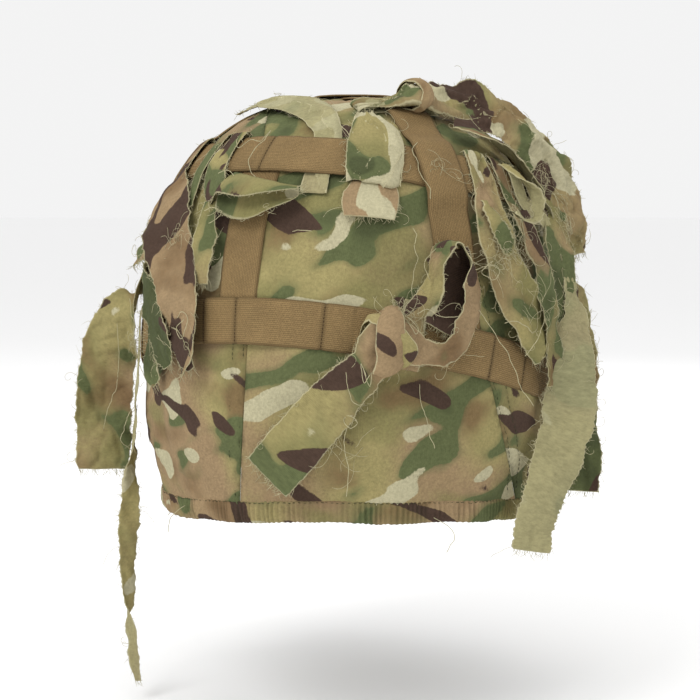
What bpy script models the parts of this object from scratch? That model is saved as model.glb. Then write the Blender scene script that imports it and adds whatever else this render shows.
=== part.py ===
"""Scrim helmet cover: three panels of printed cloth, a cage of elastic webbing and torn cloth strips.

The cover is modelled as it sits on a helmet, which is left out. Metres, degrees, +Z up, front towards -Y.
The origin is the underside of the cloth at the crown, where the helmet carries the cover.
"""
import math

import bmesh
import bpy
import numpy as np

MM = 0.001

# Helmet form that the cover is pulled over
HALF_WIDTH = 127.5 * MM
HALF_LENGTH = 142.5 * MM
CROWN_RISE = 180 * MM          # from the widest level up to the outside of the crown
ROUNDNESS = 2.7                # exponent of the crown's profile, 2 for an ellipse

# Cloth and webbing
CLOTH = 1.2 * MM
WEB_WIDTH = 25.5 * MM
WEB_THICK = 1.4 * MM
SNUG = 0.5 * MM                # slack between layers that lie on each other
RAMP = 12 * MM                 # run over which webbing climbs onto what lies under it

# Cover
AZIMUTH_STEPS = 60
POLAR_STEPS = 16
HEM_LEVEL = -241 * MM
HEM_DIP = 6 * MM               # the hem is this much lower over the ears, and higher at front and back
SKIRT_TOP = -185 * MM          # the skirt starts to draw in here
DRAW_IN = 11 * MM
HEM_CHANNEL = 12 * MM
HEM_SWELL = 0.9 * MM
SKIRT_FOLDS = 11
FOLD_DEPTH = 1.8 * MM
SEAM_GAP = 0.3 * MM

# Soft troughs in the cloth. Columns: azimuth, polar, half length, half width, depth mm, slant
TROUGHS = [
    (-8, 52, 16, 5, 2.4, 62),
    (8, 60, 18, 5, 2.0, -58),
    (-45, 56, 15, 6, 2.2, 20),
    (38, 62, 15, 6, 2.4, 70),
    (62, 88, 16, 6, 2.6, 80),
    (-14, 90, 14, 6, 1.8, 35),
    (12, 97, 18, 6, 2.2, -40),
    (-62, 95, 14, 6, 2.4, 80),
    (100, 60, 18, 6, 2.4, 75),
    (140, 84, 18, 7, 2.6, 40),
    (178, 62, 20, 6, 2.2, 70),
    (-150, 88, 18, 7, 2.4, -50),
    (-112, 66, 18, 6, 2.4, 80),
]

# Felled seams are vertical cuts. Columns: side, distance from the middle at the crown mm, spread per depth
LEFT_SEAM = (-1, 50, 0.06)
RIGHT_SEAM = (1, 35, 0.25)

# Rings of webbing lie in tilted planes. Columns: level mm, rise per x, rise per y
RINGS = {
    "ring_lower": (-164.5, -0.139, -0.256),
    "ring_upper": (-51.9, -0.104, -0.137),
}
RING_STEPS = 80

# Upright webbing in planes through the crown. Columns: azimuth, first end, second end, level at the crown mm
STRAPS = {
    "strap_over_crown": (24.5, "ring_lower", "ring_lower", 0.5),
    "strap_ear_to_ear": (92, "ring_lower", "ring_lower", 2.6),
    "leg_front": (-28, "ring_upper", "ring_lower", None),
    "leg_back": (152, "ring_upper", "ring_lower", None),
}
STRAP_PITCH = 10 * MM
TUCK = 7 * MM                  # a strap's end reaches this far past the middle of its ring
OVER_WEB = 2.1 * MM            # webbing lies this much higher than the webbing that it crosses
OVER_STRIP = 2.3 * MM          # and this high where a strip passes under it
HALF_CROSSING = WEB_WIDTH / 2 + 2.5 * MM
CROWN_CROSSING = 20 * MM       # half length of the slanted crossing of the two long straps
STRIP_MARGIN = 3 * MM          # the webbing stays up this far beside a strip under it

# Torn strips
BUNCH = 13                     # a strip is bunched to this width, in mm, where it passes under webbing
STRIP_PITCH = 9 * MM
TAIL_PITCH = 25                # mm between the rows of a plain tail
TAIL_NARROWS = 0.25            # share of its width that a plain tail loses towards its end
TAIL_WAVE = 1.2                # mm by which a plain tail waves in and out
WAVE_TURN = 2.4                # radians between its rows
BOW = 0.07                     # share of a tail's width that its middle stands out or sinks in by
BOW_TURN = 0.75                # radians between stations

EDGE_SHARE = 0.25              # a bulging strip's edges take this share of its extra thickness
FREE_LIFT = 5 * MM             # a tail bows where it is clear of the webbing
STRIP_CLOTH = {
    "printed": ("camouflage_strip", (0.24, 0.23, 0.13)),
    "pale": ("pale_strip", (0.42, 0.41, 0.27)),
}

# A strip round the webbing, seen along it: under it, round its edge and back over its front.
# Columns: distance towards the tail mm, lift mm, share of the tail's width
HITCH = [
    (21, 1.6, 0.2),
    (14.5, 1.1, 0.0),
    (-11.5, 1.1, 0.0),
    (-15.6, 1.9, 0.0),
    (-16.6, 3.4, 0.1),
    (-14.6, 4.9, 0.2),
    (-10, 5.2, 0.3),
    (12, 5.4, 0.6),
]

# A strip that only passes under the webbing. Same columns
TUCKED = [
    (-24, 1.6, 0.5),
    (-12, 1.1, 0.0),
    (15.5, 1.1, 0.0),
]


# ---------------------------------------------------------------- the helmet form

def direction(azimuth, polar):
    """Unit vector from the form's centre: azimuth from the front towards +X, polar angle down from the crown."""
    azimuth, polar = np.radians(azimuth), np.radians(polar)
    return np.stack([np.sin(polar) * np.sin(azimuth), -np.sin(polar) * np.cos(azimuth),
                     np.cos(polar) + 0 * azimuth], axis=-1)


FORM_CENTRE = np.array([0, 0, CLOTH - CROWN_RISE])


def form_radius(n):
    """Distance from the centre to the form: a rounded crown over an upright elliptic wall."""
    plan = (n[..., 0] / HALF_WIDTH) ** 2 + (n[..., 1] / HALF_LENGTH) ** 2
    rise = np.maximum(n[..., 2], 0) / CROWN_RISE
    return (plan ** (ROUNDNESS / 2) + rise ** ROUNDNESS) ** (-1 / ROUNDNESS)


def form_normal(n):
    plan = np.maximum((n[..., 0] / HALF_WIDTH) ** 2 + (n[..., 1] / HALF_LENGTH) ** 2, 1e-12)
    rise = np.maximum(n[..., 2], 0) / CROWN_RISE
    side = plan ** (ROUNDNESS / 2 - 1)
    slope = np.stack([side * n[..., 0] / HALF_WIDTH ** 2, side * n[..., 1] / HALF_LENGTH ** 2,
                      rise ** (ROUNDNESS - 1) / CROWN_RISE], axis=-1)
    return unit(slope)


def on_form(n, lift):
    """Point over the form in direction n, lifted off it along its normal."""
    return FORM_CENTRE + n * form_radius(n)[..., None] + form_normal(n) * np.asarray(lift)[..., None]


def unit(v):
    return v / np.linalg.norm(v, axis=-1, keepdims=True)


def towards(point):
    return unit(point - FORM_CENTRE)


def wall_radius(azimuth):
    azimuth = np.radians(azimuth)
    return 1 / np.hypot(np.sin(azimuth) / HALF_WIDTH, np.cos(azimuth) / HALF_LENGTH)


def slide(n, step):
    """Direction reached by a step along the form's surface."""
    return towards(on_form(n, np.zeros(n.shape[:-1])) + step)


def tangents(n):
    """Unit vectors down the form and towards growing azimuth at direction n."""
    normal = form_normal(n)
    side = unit(np.stack([-normal[..., 1], normal[..., 0], 0 * normal[..., 0]], axis=-1))
    return np.cross(side, normal), side


def smooth(t):
    t = np.clip(t, 0, 1)
    return t * t * (3 - 2 * t)


# ---------------------------------------------------------------- meshes

def colour(name, rgb, roughness):
    material = bpy.data.materials.get(name)
    if material is None:
        material = bpy.data.materials.new(name)
        material.use_nodes = True
        shader = material.node_tree.nodes["Principled BSDF"]
        shader.inputs["Base Color"].default_value = (*rgb, 1)
        shader.inputs["Roughness"].default_value = roughness
        shader.inputs["Metallic"].default_value = 0
    return material


def add_object(name, bm, material):
    bmesh.ops.recalc_face_normals(bm, faces=bm.faces)
    mesh = bpy.data.meshes.new(name)
    bm.to_mesh(mesh)
    bm.free()
    mesh.shade_smooth()
    mesh.set_sharp_from_angle(angle=math.radians(50))
    mesh.materials.append(material)
    thing = bpy.data.objects.new(name, mesh)
    bpy.context.collection.objects.link(thing)
    return thing


def skin_sections(sections, closed):
    """Closed body through a row of equal-length point rings."""
    bm = bmesh.new()
    rings = [[bm.verts.new(p) for p in section] for section in sections]
    corners = len(rings[0])
    pairs = list(zip(rings, rings[1:]))
    if closed:
        pairs.append((rings[-1], rings[0]))
    for a, b in pairs:
        for i in range(corners):
            j = (i + 1) % corners
            bm.faces.new((a[i], a[j], b[j], b[i]))
    if not closed:
        bm.faces.new(rings[0][::-1])
        bm.faces.new(rings[-1])
    return bm


# ---------------------------------------------------------------- cover

def hem_level(azimuth):
    return HEM_LEVEL + HEM_DIP * np.cos(2 * np.radians(azimuth))


def cover_lift(azimuth, polar):
    """How far the cloth stands off the form: drawn in and folded at the skirt, with soft troughs above."""
    n = direction(azimuth, polar)
    height = on_form(n, np.zeros(azimuth.shape))[..., 2]
    drop = smooth((SKIRT_TOP - height) / (SKIRT_TOP - hem_level(azimuth)))
    turn = np.radians(azimuth)
    folds = np.sin(SKIRT_FOLDS * turn + 1.3 * np.sin(2 * turn)) * (0.75 + 0.25 * np.sin(3 * turn + 1))
    lift = -DRAW_IN * drop + FOLD_DEPTH * drop * folds
    for at, down, half_length, half_width, depth, slant in TROUGHS:
        east = ((azimuth - at + 180) % 360 - 180) * np.sin(np.radians(polar))
        south = polar - down
        c, s = math.cos(math.radians(slant)), math.sin(math.radians(slant))
        along, across = c * east + s * south, c * south - s * east
        lift = lift - depth * MM * np.exp(-(across / half_width) ** 2) * smooth(1.3 - abs(along) / half_length)
    return lift


def cover_shell():
    """The whole cover as one closed shell, before it is cut into its panels."""
    azimuth = np.arange(AZIMUTH_STEPS) * 360 / AZIMUTH_STEPS
    depth = FORM_CENTRE[2] - hem_level(azimuth)
    hem_polar = 90 + np.degrees(np.arctan2(depth, wall_radius(azimuth)))
    share = (np.arange(1, POLAR_STEPS + 1) / POLAR_STEPS)[:, None]
    polar = share * hem_polar
    azimuth = azimuth + 0 * polar
    n = direction(azimuth, polar)
    lift = cover_lift(azimuth, polar)
    height = on_form(n, lift)[..., 2]
    channel = HEM_SWELL * smooth((hem_level(azimuth) + HEM_CHANNEL - height) / (4 * MM) + 0.5)
    outer = on_form(n, lift + channel)
    inner = on_form(n, lift - CLOTH - channel)
    bm = bmesh.new()
    top = np.array([0, 0, 1.0])
    sheets = []
    for grid, peak in ((outer, on_form(top, 0.0)), (inner, on_form(top, -CLOTH))):
        rows = [[bm.verts.new(p) for p in row] for row in grid]
        pole = bm.verts.new(peak)
        for i in range(AZIMUTH_STEPS):
            j = (i + 1) % AZIMUTH_STEPS
            bm.faces.new((pole, rows[0][i], rows[0][j]))
            for a, b in zip(rows, rows[1:]):
                bm.faces.new((a[i], b[i], b[j], a[j]))
        sheets.append(rows[-1])
    for i in range(AZIMUTH_STEPS):
        j = (i + 1) % AZIMUTH_STEPS
        bm.faces.new((sheets[0][i], sheets[1][i], sheets[1][j], sheets[0][j]))
    bmesh.ops.recalc_face_normals(bm, faces=bm.faces)
    return bm


def cut_beside(bm, seam, keep):
    """Cut the shell along a seam and close it. keep is the side that stays, -1 or 1 along X."""
    side, at_crown, spread = seam
    cut_normal = unit(np.array([1, 0, side * spread]))
    on_seam = np.array([side * at_crown * MM + keep * SEAM_GAP / 2, 0, 0])
    bmesh.ops.bisect_plane(bm, geom=bm.verts[:] + bm.edges[:] + bm.faces[:], dist=1e-6, plane_co=on_seam,
                           plane_no=cut_normal * -keep, clear_outer=True)
    bmesh.ops.remove_doubles(bm, verts=bm.verts, dist=0.02 * MM)
    bmesh.ops.holes_fill(bm, edges=[e for e in bm.edges if e.is_boundary], sides=0)
    bmesh.ops.triangulate(bm, faces=[f for f in bm.faces if len(f.verts) > 4])


def make_cover():
    cloth = colour("camouflage_cloth", (0.26, 0.24, 0.12), 0.9)
    panels = {
        "panel_left": [(LEFT_SEAM, -1)],
        "panel_centre": [(LEFT_SEAM, 1), (RIGHT_SEAM, -1)],
        "panel_right": [(RIGHT_SEAM, 1)],
    }
    for name, cuts in panels.items():
        bm = cover_shell()
        for seam, keep in cuts:
            cut_beside(bm, seam, keep)
        add_object(name, bm, cloth)


# ---------------------------------------------------------------- webbing

def on_ring(name, azimuth):
    """Directions of points on a ring: where its tilted plane meets the form."""
    level, per_x, per_y = RINGS[name]
    azimuth = np.asarray(azimuth, float)
    height = np.full(azimuth.shape, level * MM)
    for _ in range(8):
        rise = np.clip((height - FORM_CENTRE[2]) / CROWN_RISE, 0, 0.999)
        reach = wall_radius(azimuth) * (1 - rise ** ROUNDNESS) ** (1 / ROUNDNESS)
        x, y = reach * np.sin(np.radians(azimuth)), -reach * np.cos(np.radians(azimuth))
        height = level * MM + per_x * x + per_y * y
    return towards(np.stack([x, y, height], axis=-1))


def ring_polar(name, azimuth):
    return float(np.degrees(np.arccos(on_ring(name, azimuth)[2])))


def climb(points, humps):
    """Lift of webbing along its points. Each hump is a place, its half length and the lift it needs."""
    lift = np.full(len(points), SNUG)
    for place, half_length, height in humps:
        away = np.linalg.norm(points - place, axis=1)
        lift = np.maximum(lift, SNUG + (height - SNUG) * smooth((half_length + RAMP - away) / RAMP))
    return lift


def webbing(name, n, lift, closed):
    """A flat band that follows the form along directions n."""
    centre = on_form(n, lift)
    if closed:
        run = np.roll(centre, -1, axis=0) - np.roll(centre, 1, axis=0)
    else:
        run = np.gradient(centre, axis=0)
    across = unit(np.cross(form_normal(n), run))
    sections = []
    for layer, order in ((0, (-1, 0, 1)), (WEB_THICK, (1, 0, -1))):
        for s in order:
            sections.append(on_form(slide(n, across * s * WEB_WIDTH / 2), lift + layer))
    bm = skin_sections(np.stack(sections, axis=1), closed)
    return add_object(name, bm, colour("webbing", (0.26, 0.16, 0.07), 0.85))


def strap_end(ring, azimuth, past=1):
    """Polar angle where a strap ends, tucked under its ring. past is 1 where it comes from above, else -1."""
    reach = form_radius(on_ring(ring, azimuth))
    return ring_polar(ring, azimuth) + past * math.degrees(TUCK / reach)


def ring_humps(ring, strips):
    """A ring climbs onto the ends of the straps and onto the strips that are hitched to it."""
    humps = strip_humps(strips, ring)
    for azimuth, first, second, crown_lift in STRAPS.values():
        turns = [(azimuth, second), (azimuth if crown_lift is None else azimuth + 180, first)]
        humps += [(on_form(on_ring(ring, turn), 0.0), HALF_CROSSING, SNUG + OVER_WEB)
                  for turn, end in turns if end == ring]
    return humps


def lift_over(ring, azimuth, strips):
    """Lift that a strap needs to cross a ring."""
    reach = np.linalg.norm(on_form(on_ring(ring, azimuth), 0.0)[:2])
    n = on_ring(ring, azimuth + np.linspace(-1, 1, 9) * math.degrees(HALF_CROSSING / reach))
    return climb(on_form(n, np.zeros(len(n))), ring_humps(ring, strips)).max() + OVER_WEB


def make_webbing(strips):
    for name, (azimuth, first, second, crown_lift) in STRAPS.items():
        humps = strip_humps(strips, name)
        if crown_lift is None:
            far = strap_end(first, azimuth, -1)
        else:
            far = -strap_end(first, azimuth + 180)
            humps.append((on_form(np.array([0, 0, 1.0]), 0.0), CROWN_CROSSING, crown_lift * MM))
            for turn in (azimuth, azimuth + 180):
                place = on_form(on_ring("ring_upper", turn), 0.0)
                humps.append((place, HALF_CROSSING, lift_over("ring_upper", turn, strips)))
        near = strap_end(second, azimuth)
        count = int(math.radians(near - far) * CROWN_RISE / STRAP_PITCH)
        n = direction(np.full(count, float(azimuth)), np.linspace(far, near, count))
        webbing(name, n, climb(on_form(n, np.zeros(count)), humps), closed=False)
    for ring in RINGS:
        n = on_ring(ring, np.arange(RING_STEPS) * 360 / RING_STEPS)
        webbing(ring, n, climb(on_form(n, np.zeros(RING_STEPS)), ring_humps(ring, strips)), closed=True)


# ---------------------------------------------------------------- strips

def hitch_direction(strip, further=0):
    band, at = strip["on"], strip["at"] + further
    if band in RINGS:
        return on_ring(band, at)
    return direction(float(STRAPS[band][0]), float(at))


def bunched(strip):
    return min(strip.get("bunch", BUNCH), strip["width"])


def strip_humps(strips, band):
    """The places where strips pass under a band."""
    return [(on_form(hitch_direction(s), 0.0), bunched(s) / 2 * MM + STRIP_MARGIN, OVER_STRIP)
            for s in strips if s["on"] == band]


def hitch_rows(strip):
    """Rows of direction, lift, width, roll and thickness round the webbing, from the hidden end to the front."""
    n = hitch_direction(strip)
    band_run = on_form(hitch_direction(strip, 1), 0.0) - on_form(n, 0.0)
    ahead = unit(np.cross(form_normal(n), band_run))
    down, side = tangents(n)
    usual = down if strip["on"] in RINGS else side
    ahead = ahead * np.sign(ahead @ usual) * strip.get("leaves", 1)
    narrow, full = bunched(strip), strip["width"]
    rows = []
    for distance, lift, share in TUCKED if strip.get("tucked") else HITCH:
        if distance < -WEB_WIDTH / 2 / MM:
            distance -= strip.get("arch", 0)
        wide = narrow + share * (full - narrow)
        rows.append((*slide(n, ahead * distance * MM), lift * MM, wide * MM, 0, CLOTH))
    return rows[:-1] if strip.get("knot_on_band") else rows


def tail_rows(strip):
    """Rows of the free tail: from the strip's own table, or for a plain one hanging down with a sway."""
    if "tail" in strip:
        return [(*direction(float(azimuth), float(polar)), lift * MM, width * MM, roll, thick * MM)
                for azimuth, polar, lift, width, roll, thick in strip["tail"]]
    n = hitch_direction(strip)
    rows = []
    steps = max(2, round(strip["fall"] / TAIL_PITCH))
    front = HITCH[-1][1]
    for i in range(1, steps + 1):
        t = i / steps
        down, side = tangents(n)
        n = slide(n, (down + side * strip["sway"]) * strip["fall"] * MM / steps)
        wave = TAIL_WAVE * math.sin(WAVE_TURN * i + strip["at"])
        lift = front + (strip["stand"] - front) * smooth(t) + wave
        width = strip["width"] * (1 - TAIL_NARROWS * t)
        rows.append((*n, lift * MM, width * MM, strip["roll"] * t, CLOTH))
    return rows


def through_rows(rows):
    """Smooth run through the rows, with a station about every STRIP_PITCH."""
    rows = np.array(rows, float)
    places = on_form(unit(rows[:, :3]), rows[:, 3])
    chords = np.linalg.norm(np.diff(places, axis=0), axis=1)
    steps = np.sqrt(chords)
    slopes = np.gradient(rows, np.concatenate([[0], np.cumsum(steps)]), axis=0)
    stations = [rows[0]]
    for a, b, leave, arrive, step, chord in zip(rows, rows[1:], slopes, slopes[1:], steps, chords):
        count = max(1, round(chord / STRIP_PITCH))
        for t in np.arange(1, count + 1) / count:
            s = t * t * (3 - 2 * t)
            stations.append(a + (b - a) * s + step * t * (1 - t) * (leave * (1 - t) - arrive * t))
    return np.array(stations)


def section_offsets(width, thick, bow):
    """Outline of a strip's section. Columns: place across, height."""
    edge = min(thick, CLOTH + EDGE_SHARE * (thick - CLOTH)) / 2
    half = width / 2
    return [(half, edge), (0, bow + thick / 2), (-half, edge), (-half, -edge), (0, bow - thick / 2), (half, -edge)]


def make_strip(strip):
    """A ribbon of cloth along its stations. Its width direction turns with the run and with the roll."""
    stations = through_rows(hitch_rows(strip) + tail_rows(strip))
    n, lift, width = unit(stations[:, :3]), stations[:, 3], stations[:, 4]
    roll, thick = np.radians(stations[:, 5]), stations[:, 6]
    run = unit(np.gradient(on_form(n, lift), axis=0))
    normal = form_normal(n)
    free = smooth((lift - FREE_LIFT) / FREE_LIFT)
    bow = BOW * width * free * CLOTH / thick * np.sin(BOW_TURN * np.arange(len(n)) + len(strip["name"]))
    sections = []
    across = unit(np.cross(run[0], normal[0]))
    for i in range(len(n)):
        level = np.cross(run[i], normal[i])
        if np.linalg.norm(level) > 0.6:
            across = unit(level) * (1 if level @ across > 0 else -1)
        else:
            across = unit(across - run[i] * (across @ run[i]))
        up = np.cross(across, run[i])
        up = up if up @ normal[i] > 0 else -up
        wide = across * math.cos(roll[i]) + up * math.sin(roll[i])
        deep = unit(np.cross(wide, run[i]))
        section = []
        for a, b in section_offsets(width[i], thick[i], bow[i]):
            offset = wide * a + deep * b
            out = offset @ normal[i]
            section.append(on_form(slide(n[i], offset - normal[i] * out), lift[i] + out))
        sections.append(section)
    name, rgb = STRIP_CLOTH["pale" if strip.get("pale") else "printed"]
    add_object(strip["name"], skin_sections(sections, closed=False), colour(name, rgb, 0.92))


# Strips with a shape of their own. on: the webbing that the strip is hitched to, at: the azimuth on a ring or
# the polar angle on a strap, leaves: 1 where the tail leaves down from a ring or towards growing azimuth from a
# strap, else -1. arch: how far its loop reaches past the webbing's edge, mm. bunch: width under the webbing, mm.
# tucked: it only passes under the webbing. knot_on_band: its knot sits on the webbing. pale: its reverse shows.
# Tail columns: azimuth, polar, lift mm, width mm, roll, thickness mm.
SHAPED_STRIPS = [
    {"name": "strip_ear_left", "on": "strap_ear_to_ear", "at": -60, "leaves": 1, "width": 26, "tail": [
        (-80, 64, 11, 22, -10, 1.2),
        (-84, 70, 18, 29, -58, 1.2),
        (-88, 78, 24, 35, -80, 1.2),
        (-89, 88, 27, 35, -88, 1.2),
        (-89, 99, 28, 34, -91, 1.2),
        (-89, 110, 28, 33, -94, 1.2),
    ]},
    {"name": "strip_long_narrow", "on": "ring_lower", "at": -76, "width": 9, "pale": True, "tail": [
        (-77, 90, 7, 8, 0, 1.2),
        (-79, 99, 8, 8, 5, 1.2),
        (-80, 107, 10, 10, 30, 1.2),
        (-81, 115, 11, 12, 75, 1.2),
        (-82, 123.5, 12, 12, 88, 1.2),
        (-83, 131, 13, 10, 60, 1.2),
        (-83, 136, 12, 9, 10, 1.2),
        (-82, 140, 10, 9, -40, 1.2),
        (-81, 144, 8, 5, -60, 1.2),
    ]},
    {"name": "strip_left_front", "on": "ring_upper", "at": -71, "width": 28, "tail": [
        (-65, 42, 8.5, 27, -12, 1.2),
        (-57.5, 46.5, 11, 31, -15, 1.2),
        (-51.5, 52.5, 12, 31, -22, 1.2),
        (-46.5, 58.5, 11, 30, -18, 1.2),
        (-43, 64.5, 11, 30, -12, 1.2),
        (-41, 71, 10.5, 26, 0, 1.2),
        (-40.5, 76.5, 10, 17, 10, 1.2),
        (-41.5, 80.5, 9, 5, 14, 1.2),
    ]},
    {"name": "strip_left_fold", "on": "ring_lower", "at": -59, "width": 24, "bunch": 14, "arch": 12, "tail": [
        (-57.5, 80.5, 7, 17, -10, 1.2),
        (-55, 83.5, 5.5, 8, -10, 1.2),
    ]},
    {"name": "strip_left_shoulder", "on": "ring_upper", "at": -102, "width": 22, "tail": [
        (-98, 50, 9, 22, -15, 1.2),
        (-92.5, 57, 11, 17, -30, 1.2),
    ]},
    {"name": "strip_flap", "on": "ring_upper", "at": -44, "width": 20, "bunch": 10, "tail": [
        (-38, 44, 7, 19, 8, 1.2),
        (-28, 46, 8.5, 22, 14, 1.2),
        (-19, 46.5, 8.5, 20, 10, 1.2),
        (-13.5, 46, 7, 11, 0, 1.2),
    ]},
    {"name": "strip_left_loop", "on": "ring_upper", "at": -53, "width": 9, "tail": [
        (-52, 42.5, 4.5, 8, 0, 1.2),
        (-51.5, 45.5, 3.5, 6, 0, 1.2),
    ]},
    {"name": "strip_crown_pale", "on": "ring_upper", "at": -9.5, "leaves": -1, "width": 15, "bunch": 15,
     "tucked": True, "pale": True, "tail": [
         (-15, 25, 2.4, 19, 0, 1.2),
         (-30, 20, 4, 22, 0, 1.2),
         (-62, 18, 6, 21, 0, 1.2),
         (-92, 20, 6.4, 16, 0, 1.2),
     ]},
    {"name": "strip_wrap_front", "on": "ring_upper", "at": 5.5, "leaves": -1, "width": 31, "bunch": 28,
     "pale": True, "tail": [
         (5, 30, 6.5, 20, 0, 1.2),
         (4, 27, 6.5, 9, 0, 1.2),
     ]},
    {"name": "strip_crown_knot", "on": "strap_over_crown", "at": 21, "width": 20, "arch": 13,
     "knot_on_band": True, "tail": [
        (27, 22, 11, 23, 0, 10),
        (43, 22, 10.5, 26, 12, 4),
        (58, 24, 13, 33, 22, 1.2),
        (68, 29, 16, 36, 30, 1.2),
        (73, 35.5, 17.5, 36, 32, 1.2),
        (74, 42.5, 17.5, 35, 32, 1.2),
        (77, 49, 17.5, 28, 30, 1.2),
        (78, 55, 15, 18, 30, 1.2),
    ]},
    {"name": "strip_right_long", "on": "ring_upper", "at": 55, "width": 12, "pale": True, "tail": [
        (57, 47, 9, 10, 0, 1.2),
        (62, 56, 13, 10, 15, 1.2),
        (61, 65, 16, 14, 30, 1.2),
        (58, 74, 17, 24, 38, 1.2),
        (56.5, 83, 17.5, 30, 40, 1.2),
        (54.5, 91, 17, 31, 40, 1.2),
        (51, 99, 16, 29, 38, 1.2),
        (47, 107, 14, 27, 34, 1.2),
        (43.5, 114, 12.5, 25, 30, 1.2),
        (42, 119.5, 12, 23, 30, 1.2),
    ]},
    {"name": "strip_right_broad", "on": "ring_upper", "at": 38, "width": 24, "bunch": 10, "tail": [
        (36, 47, 7.5, 19, 0, 1.2),
        (36, 53, 7.5, 24, 0, 1.2),
        (37.5, 59, 8, 27, 5, 1.2),
        (41, 65.5, 8.5, 28, 8, 1.2),
        (45.5, 71.5, 9, 27, 8, 1.2),
        (48.5, 76.5, 9, 18, 8, 1.2),
    ]},
    {"name": "strip_knotted", "on": "ring_lower", "at": 12, "leaves": -1, "width": 15, "tail": [
        (15, 64, 10.5, 15, -50, 1.2),
        (16.8, 59, 12.5, 16, -70, 1.2),
        (19.8, 54.5, 13.5, 18, -75, 1.2),
        (23.3, 55.5, 13.5, 21, -50, 1.2),
        (25, 61.5, 13.5, 23, -36, 1.2),
        (24.5, 67.5, 13, 20, -30, 1.2),
        (22, 72.5, 12.5, 16, -22, 1.2),
        (17.5, 75, 12, 12, -10, 1.6),
        (13, 74.5, 11.7, 14, 0, 4),
        (6.5, 72.5, 12, 25, 0, 12),
        (2.5, 77.5, 10.5, 20, 0, 4),
        (-4.5, 85, 8, 27, 0, 1.2),
        (-12, 94, 6, 30, 0, 1.2),
        (-19, 102, 4.5, 30, 0, 1.2),
    ]},
    {"name": "strip_short_right", "on": "ring_upper", "at": 47, "width": 9, "tail": [
        (47, 47, 6.5, 9, 0, 1.2),
        (47.5, 51.5, 7, 7, 0, 1.2),
    ]},
    {"name": "strip_right_curl", "on": "ring_upper", "at": 62, "width": 8, "tail": [
        (62.5, 45.5, 4.5, 8, 0, 1.2),
        (63, 49, 4.5, 7, 0, 1.2),
    ]},
    {"name": "strip_ear_right", "on": "strap_ear_to_ear", "at": 55, "leaves": -1, "width": 24, "tail": [
        (83, 60.5, 9, 19, 15, 1.2),
        (83, 69, 11.5, 21, 45, 1.2),
        (83, 80, 13.5, 22, 55, 1.2),
        (83, 92, 14.5, 22, 60, 1.2),
        (82, 104, 14, 22, 66, 1.2),
        (80, 114, 13, 21, 70, 1.2),
    ]},
]

# Plain strips, hitched to the webbing and hanging. Columns: name, webbing, place on it, width mm, fall mm,
# sway towards growing azimuth per fall, lift of the end mm, roll of the end
PLAIN_STRIPS = [
    ("strip_back_1", "ring_lower", 121, 27, 88, 0.10, 10, 12),
    ("strip_back_2", "ring_lower", 177, 30, 66, -0.22, 8, -10),
    ("strip_back_3", "ring_lower", -128, 24, 96, 0.06, 12, 20),
    ("strip_back_4", "ring_lower", -108, 19, 54, -0.15, 9, 0),
    ("strip_back_5", "ring_upper", 119, 26, 70, 0.25, 9, 10),
    ("strip_back_6", "ring_upper", 178, 28, 78, 0.16, 9, -12),
    ("strip_back_7", "ring_upper", -129, 24, 74, -0.2, 10, 14),
]


def plain_strip(name, band, at, width, fall, sway, stand, roll):
    return {"name": name, "on": band, "at": at, "width": width, "fall": fall, "sway": sway, "stand": stand,
            "roll": roll}


def main():
    for thing in list(bpy.data.objects):
        bpy.data.objects.remove(thing, do_unlink=True)
    strips = SHAPED_STRIPS + [plain_strip(*row) for row in PLAIN_STRIPS]
    make_cover()
    make_webbing(strips)
    for strip in strips:
        make_strip(strip)


main()
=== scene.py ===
"""Looks of a scrim helmet cover: printed cloth, ribbed webbing, torn strips, stitches and loose threads.

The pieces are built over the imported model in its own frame: metres, +Z up, front towards -Y.
"""
import math
import zlib

import bmesh
import bpy
import numpy as np
from bpy.props import FloatProperty, FloatVectorProperty, IntProperty, PointerProperty
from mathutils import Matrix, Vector
from mathutils.kdtree import KDTree


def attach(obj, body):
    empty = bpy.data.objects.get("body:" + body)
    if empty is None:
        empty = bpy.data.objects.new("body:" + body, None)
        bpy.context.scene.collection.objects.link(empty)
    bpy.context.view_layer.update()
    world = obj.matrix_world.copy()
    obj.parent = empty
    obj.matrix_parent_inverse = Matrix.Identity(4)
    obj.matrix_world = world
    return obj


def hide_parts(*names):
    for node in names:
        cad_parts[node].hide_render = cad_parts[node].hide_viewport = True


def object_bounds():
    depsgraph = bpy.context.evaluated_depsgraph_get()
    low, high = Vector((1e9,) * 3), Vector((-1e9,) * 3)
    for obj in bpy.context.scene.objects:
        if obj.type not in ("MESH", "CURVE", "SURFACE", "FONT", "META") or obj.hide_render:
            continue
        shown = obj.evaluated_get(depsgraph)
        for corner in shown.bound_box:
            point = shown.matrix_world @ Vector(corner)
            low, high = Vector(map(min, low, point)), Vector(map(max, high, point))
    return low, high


bl_info = {
    "name": "Scrim helmet cover",
    "version": (1, 0, 0),
    "blender": (4, 5, 0),
    "location": "3D View > Sidebar > Cover",
    "description": "Dresses the packed cover with cloth, webbing, strips and threads",
    "category": "Object",
}

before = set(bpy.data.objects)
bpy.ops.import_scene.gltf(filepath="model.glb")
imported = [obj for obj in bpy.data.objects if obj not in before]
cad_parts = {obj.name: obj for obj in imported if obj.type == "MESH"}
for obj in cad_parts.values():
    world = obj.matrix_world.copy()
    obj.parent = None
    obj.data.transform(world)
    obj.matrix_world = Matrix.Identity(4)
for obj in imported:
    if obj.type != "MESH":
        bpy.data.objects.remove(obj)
PACKED_BOX = [list(corner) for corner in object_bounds()]
MM = 0.001

# ---------------------------------------------------------------- the form, as in the part's source

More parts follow.
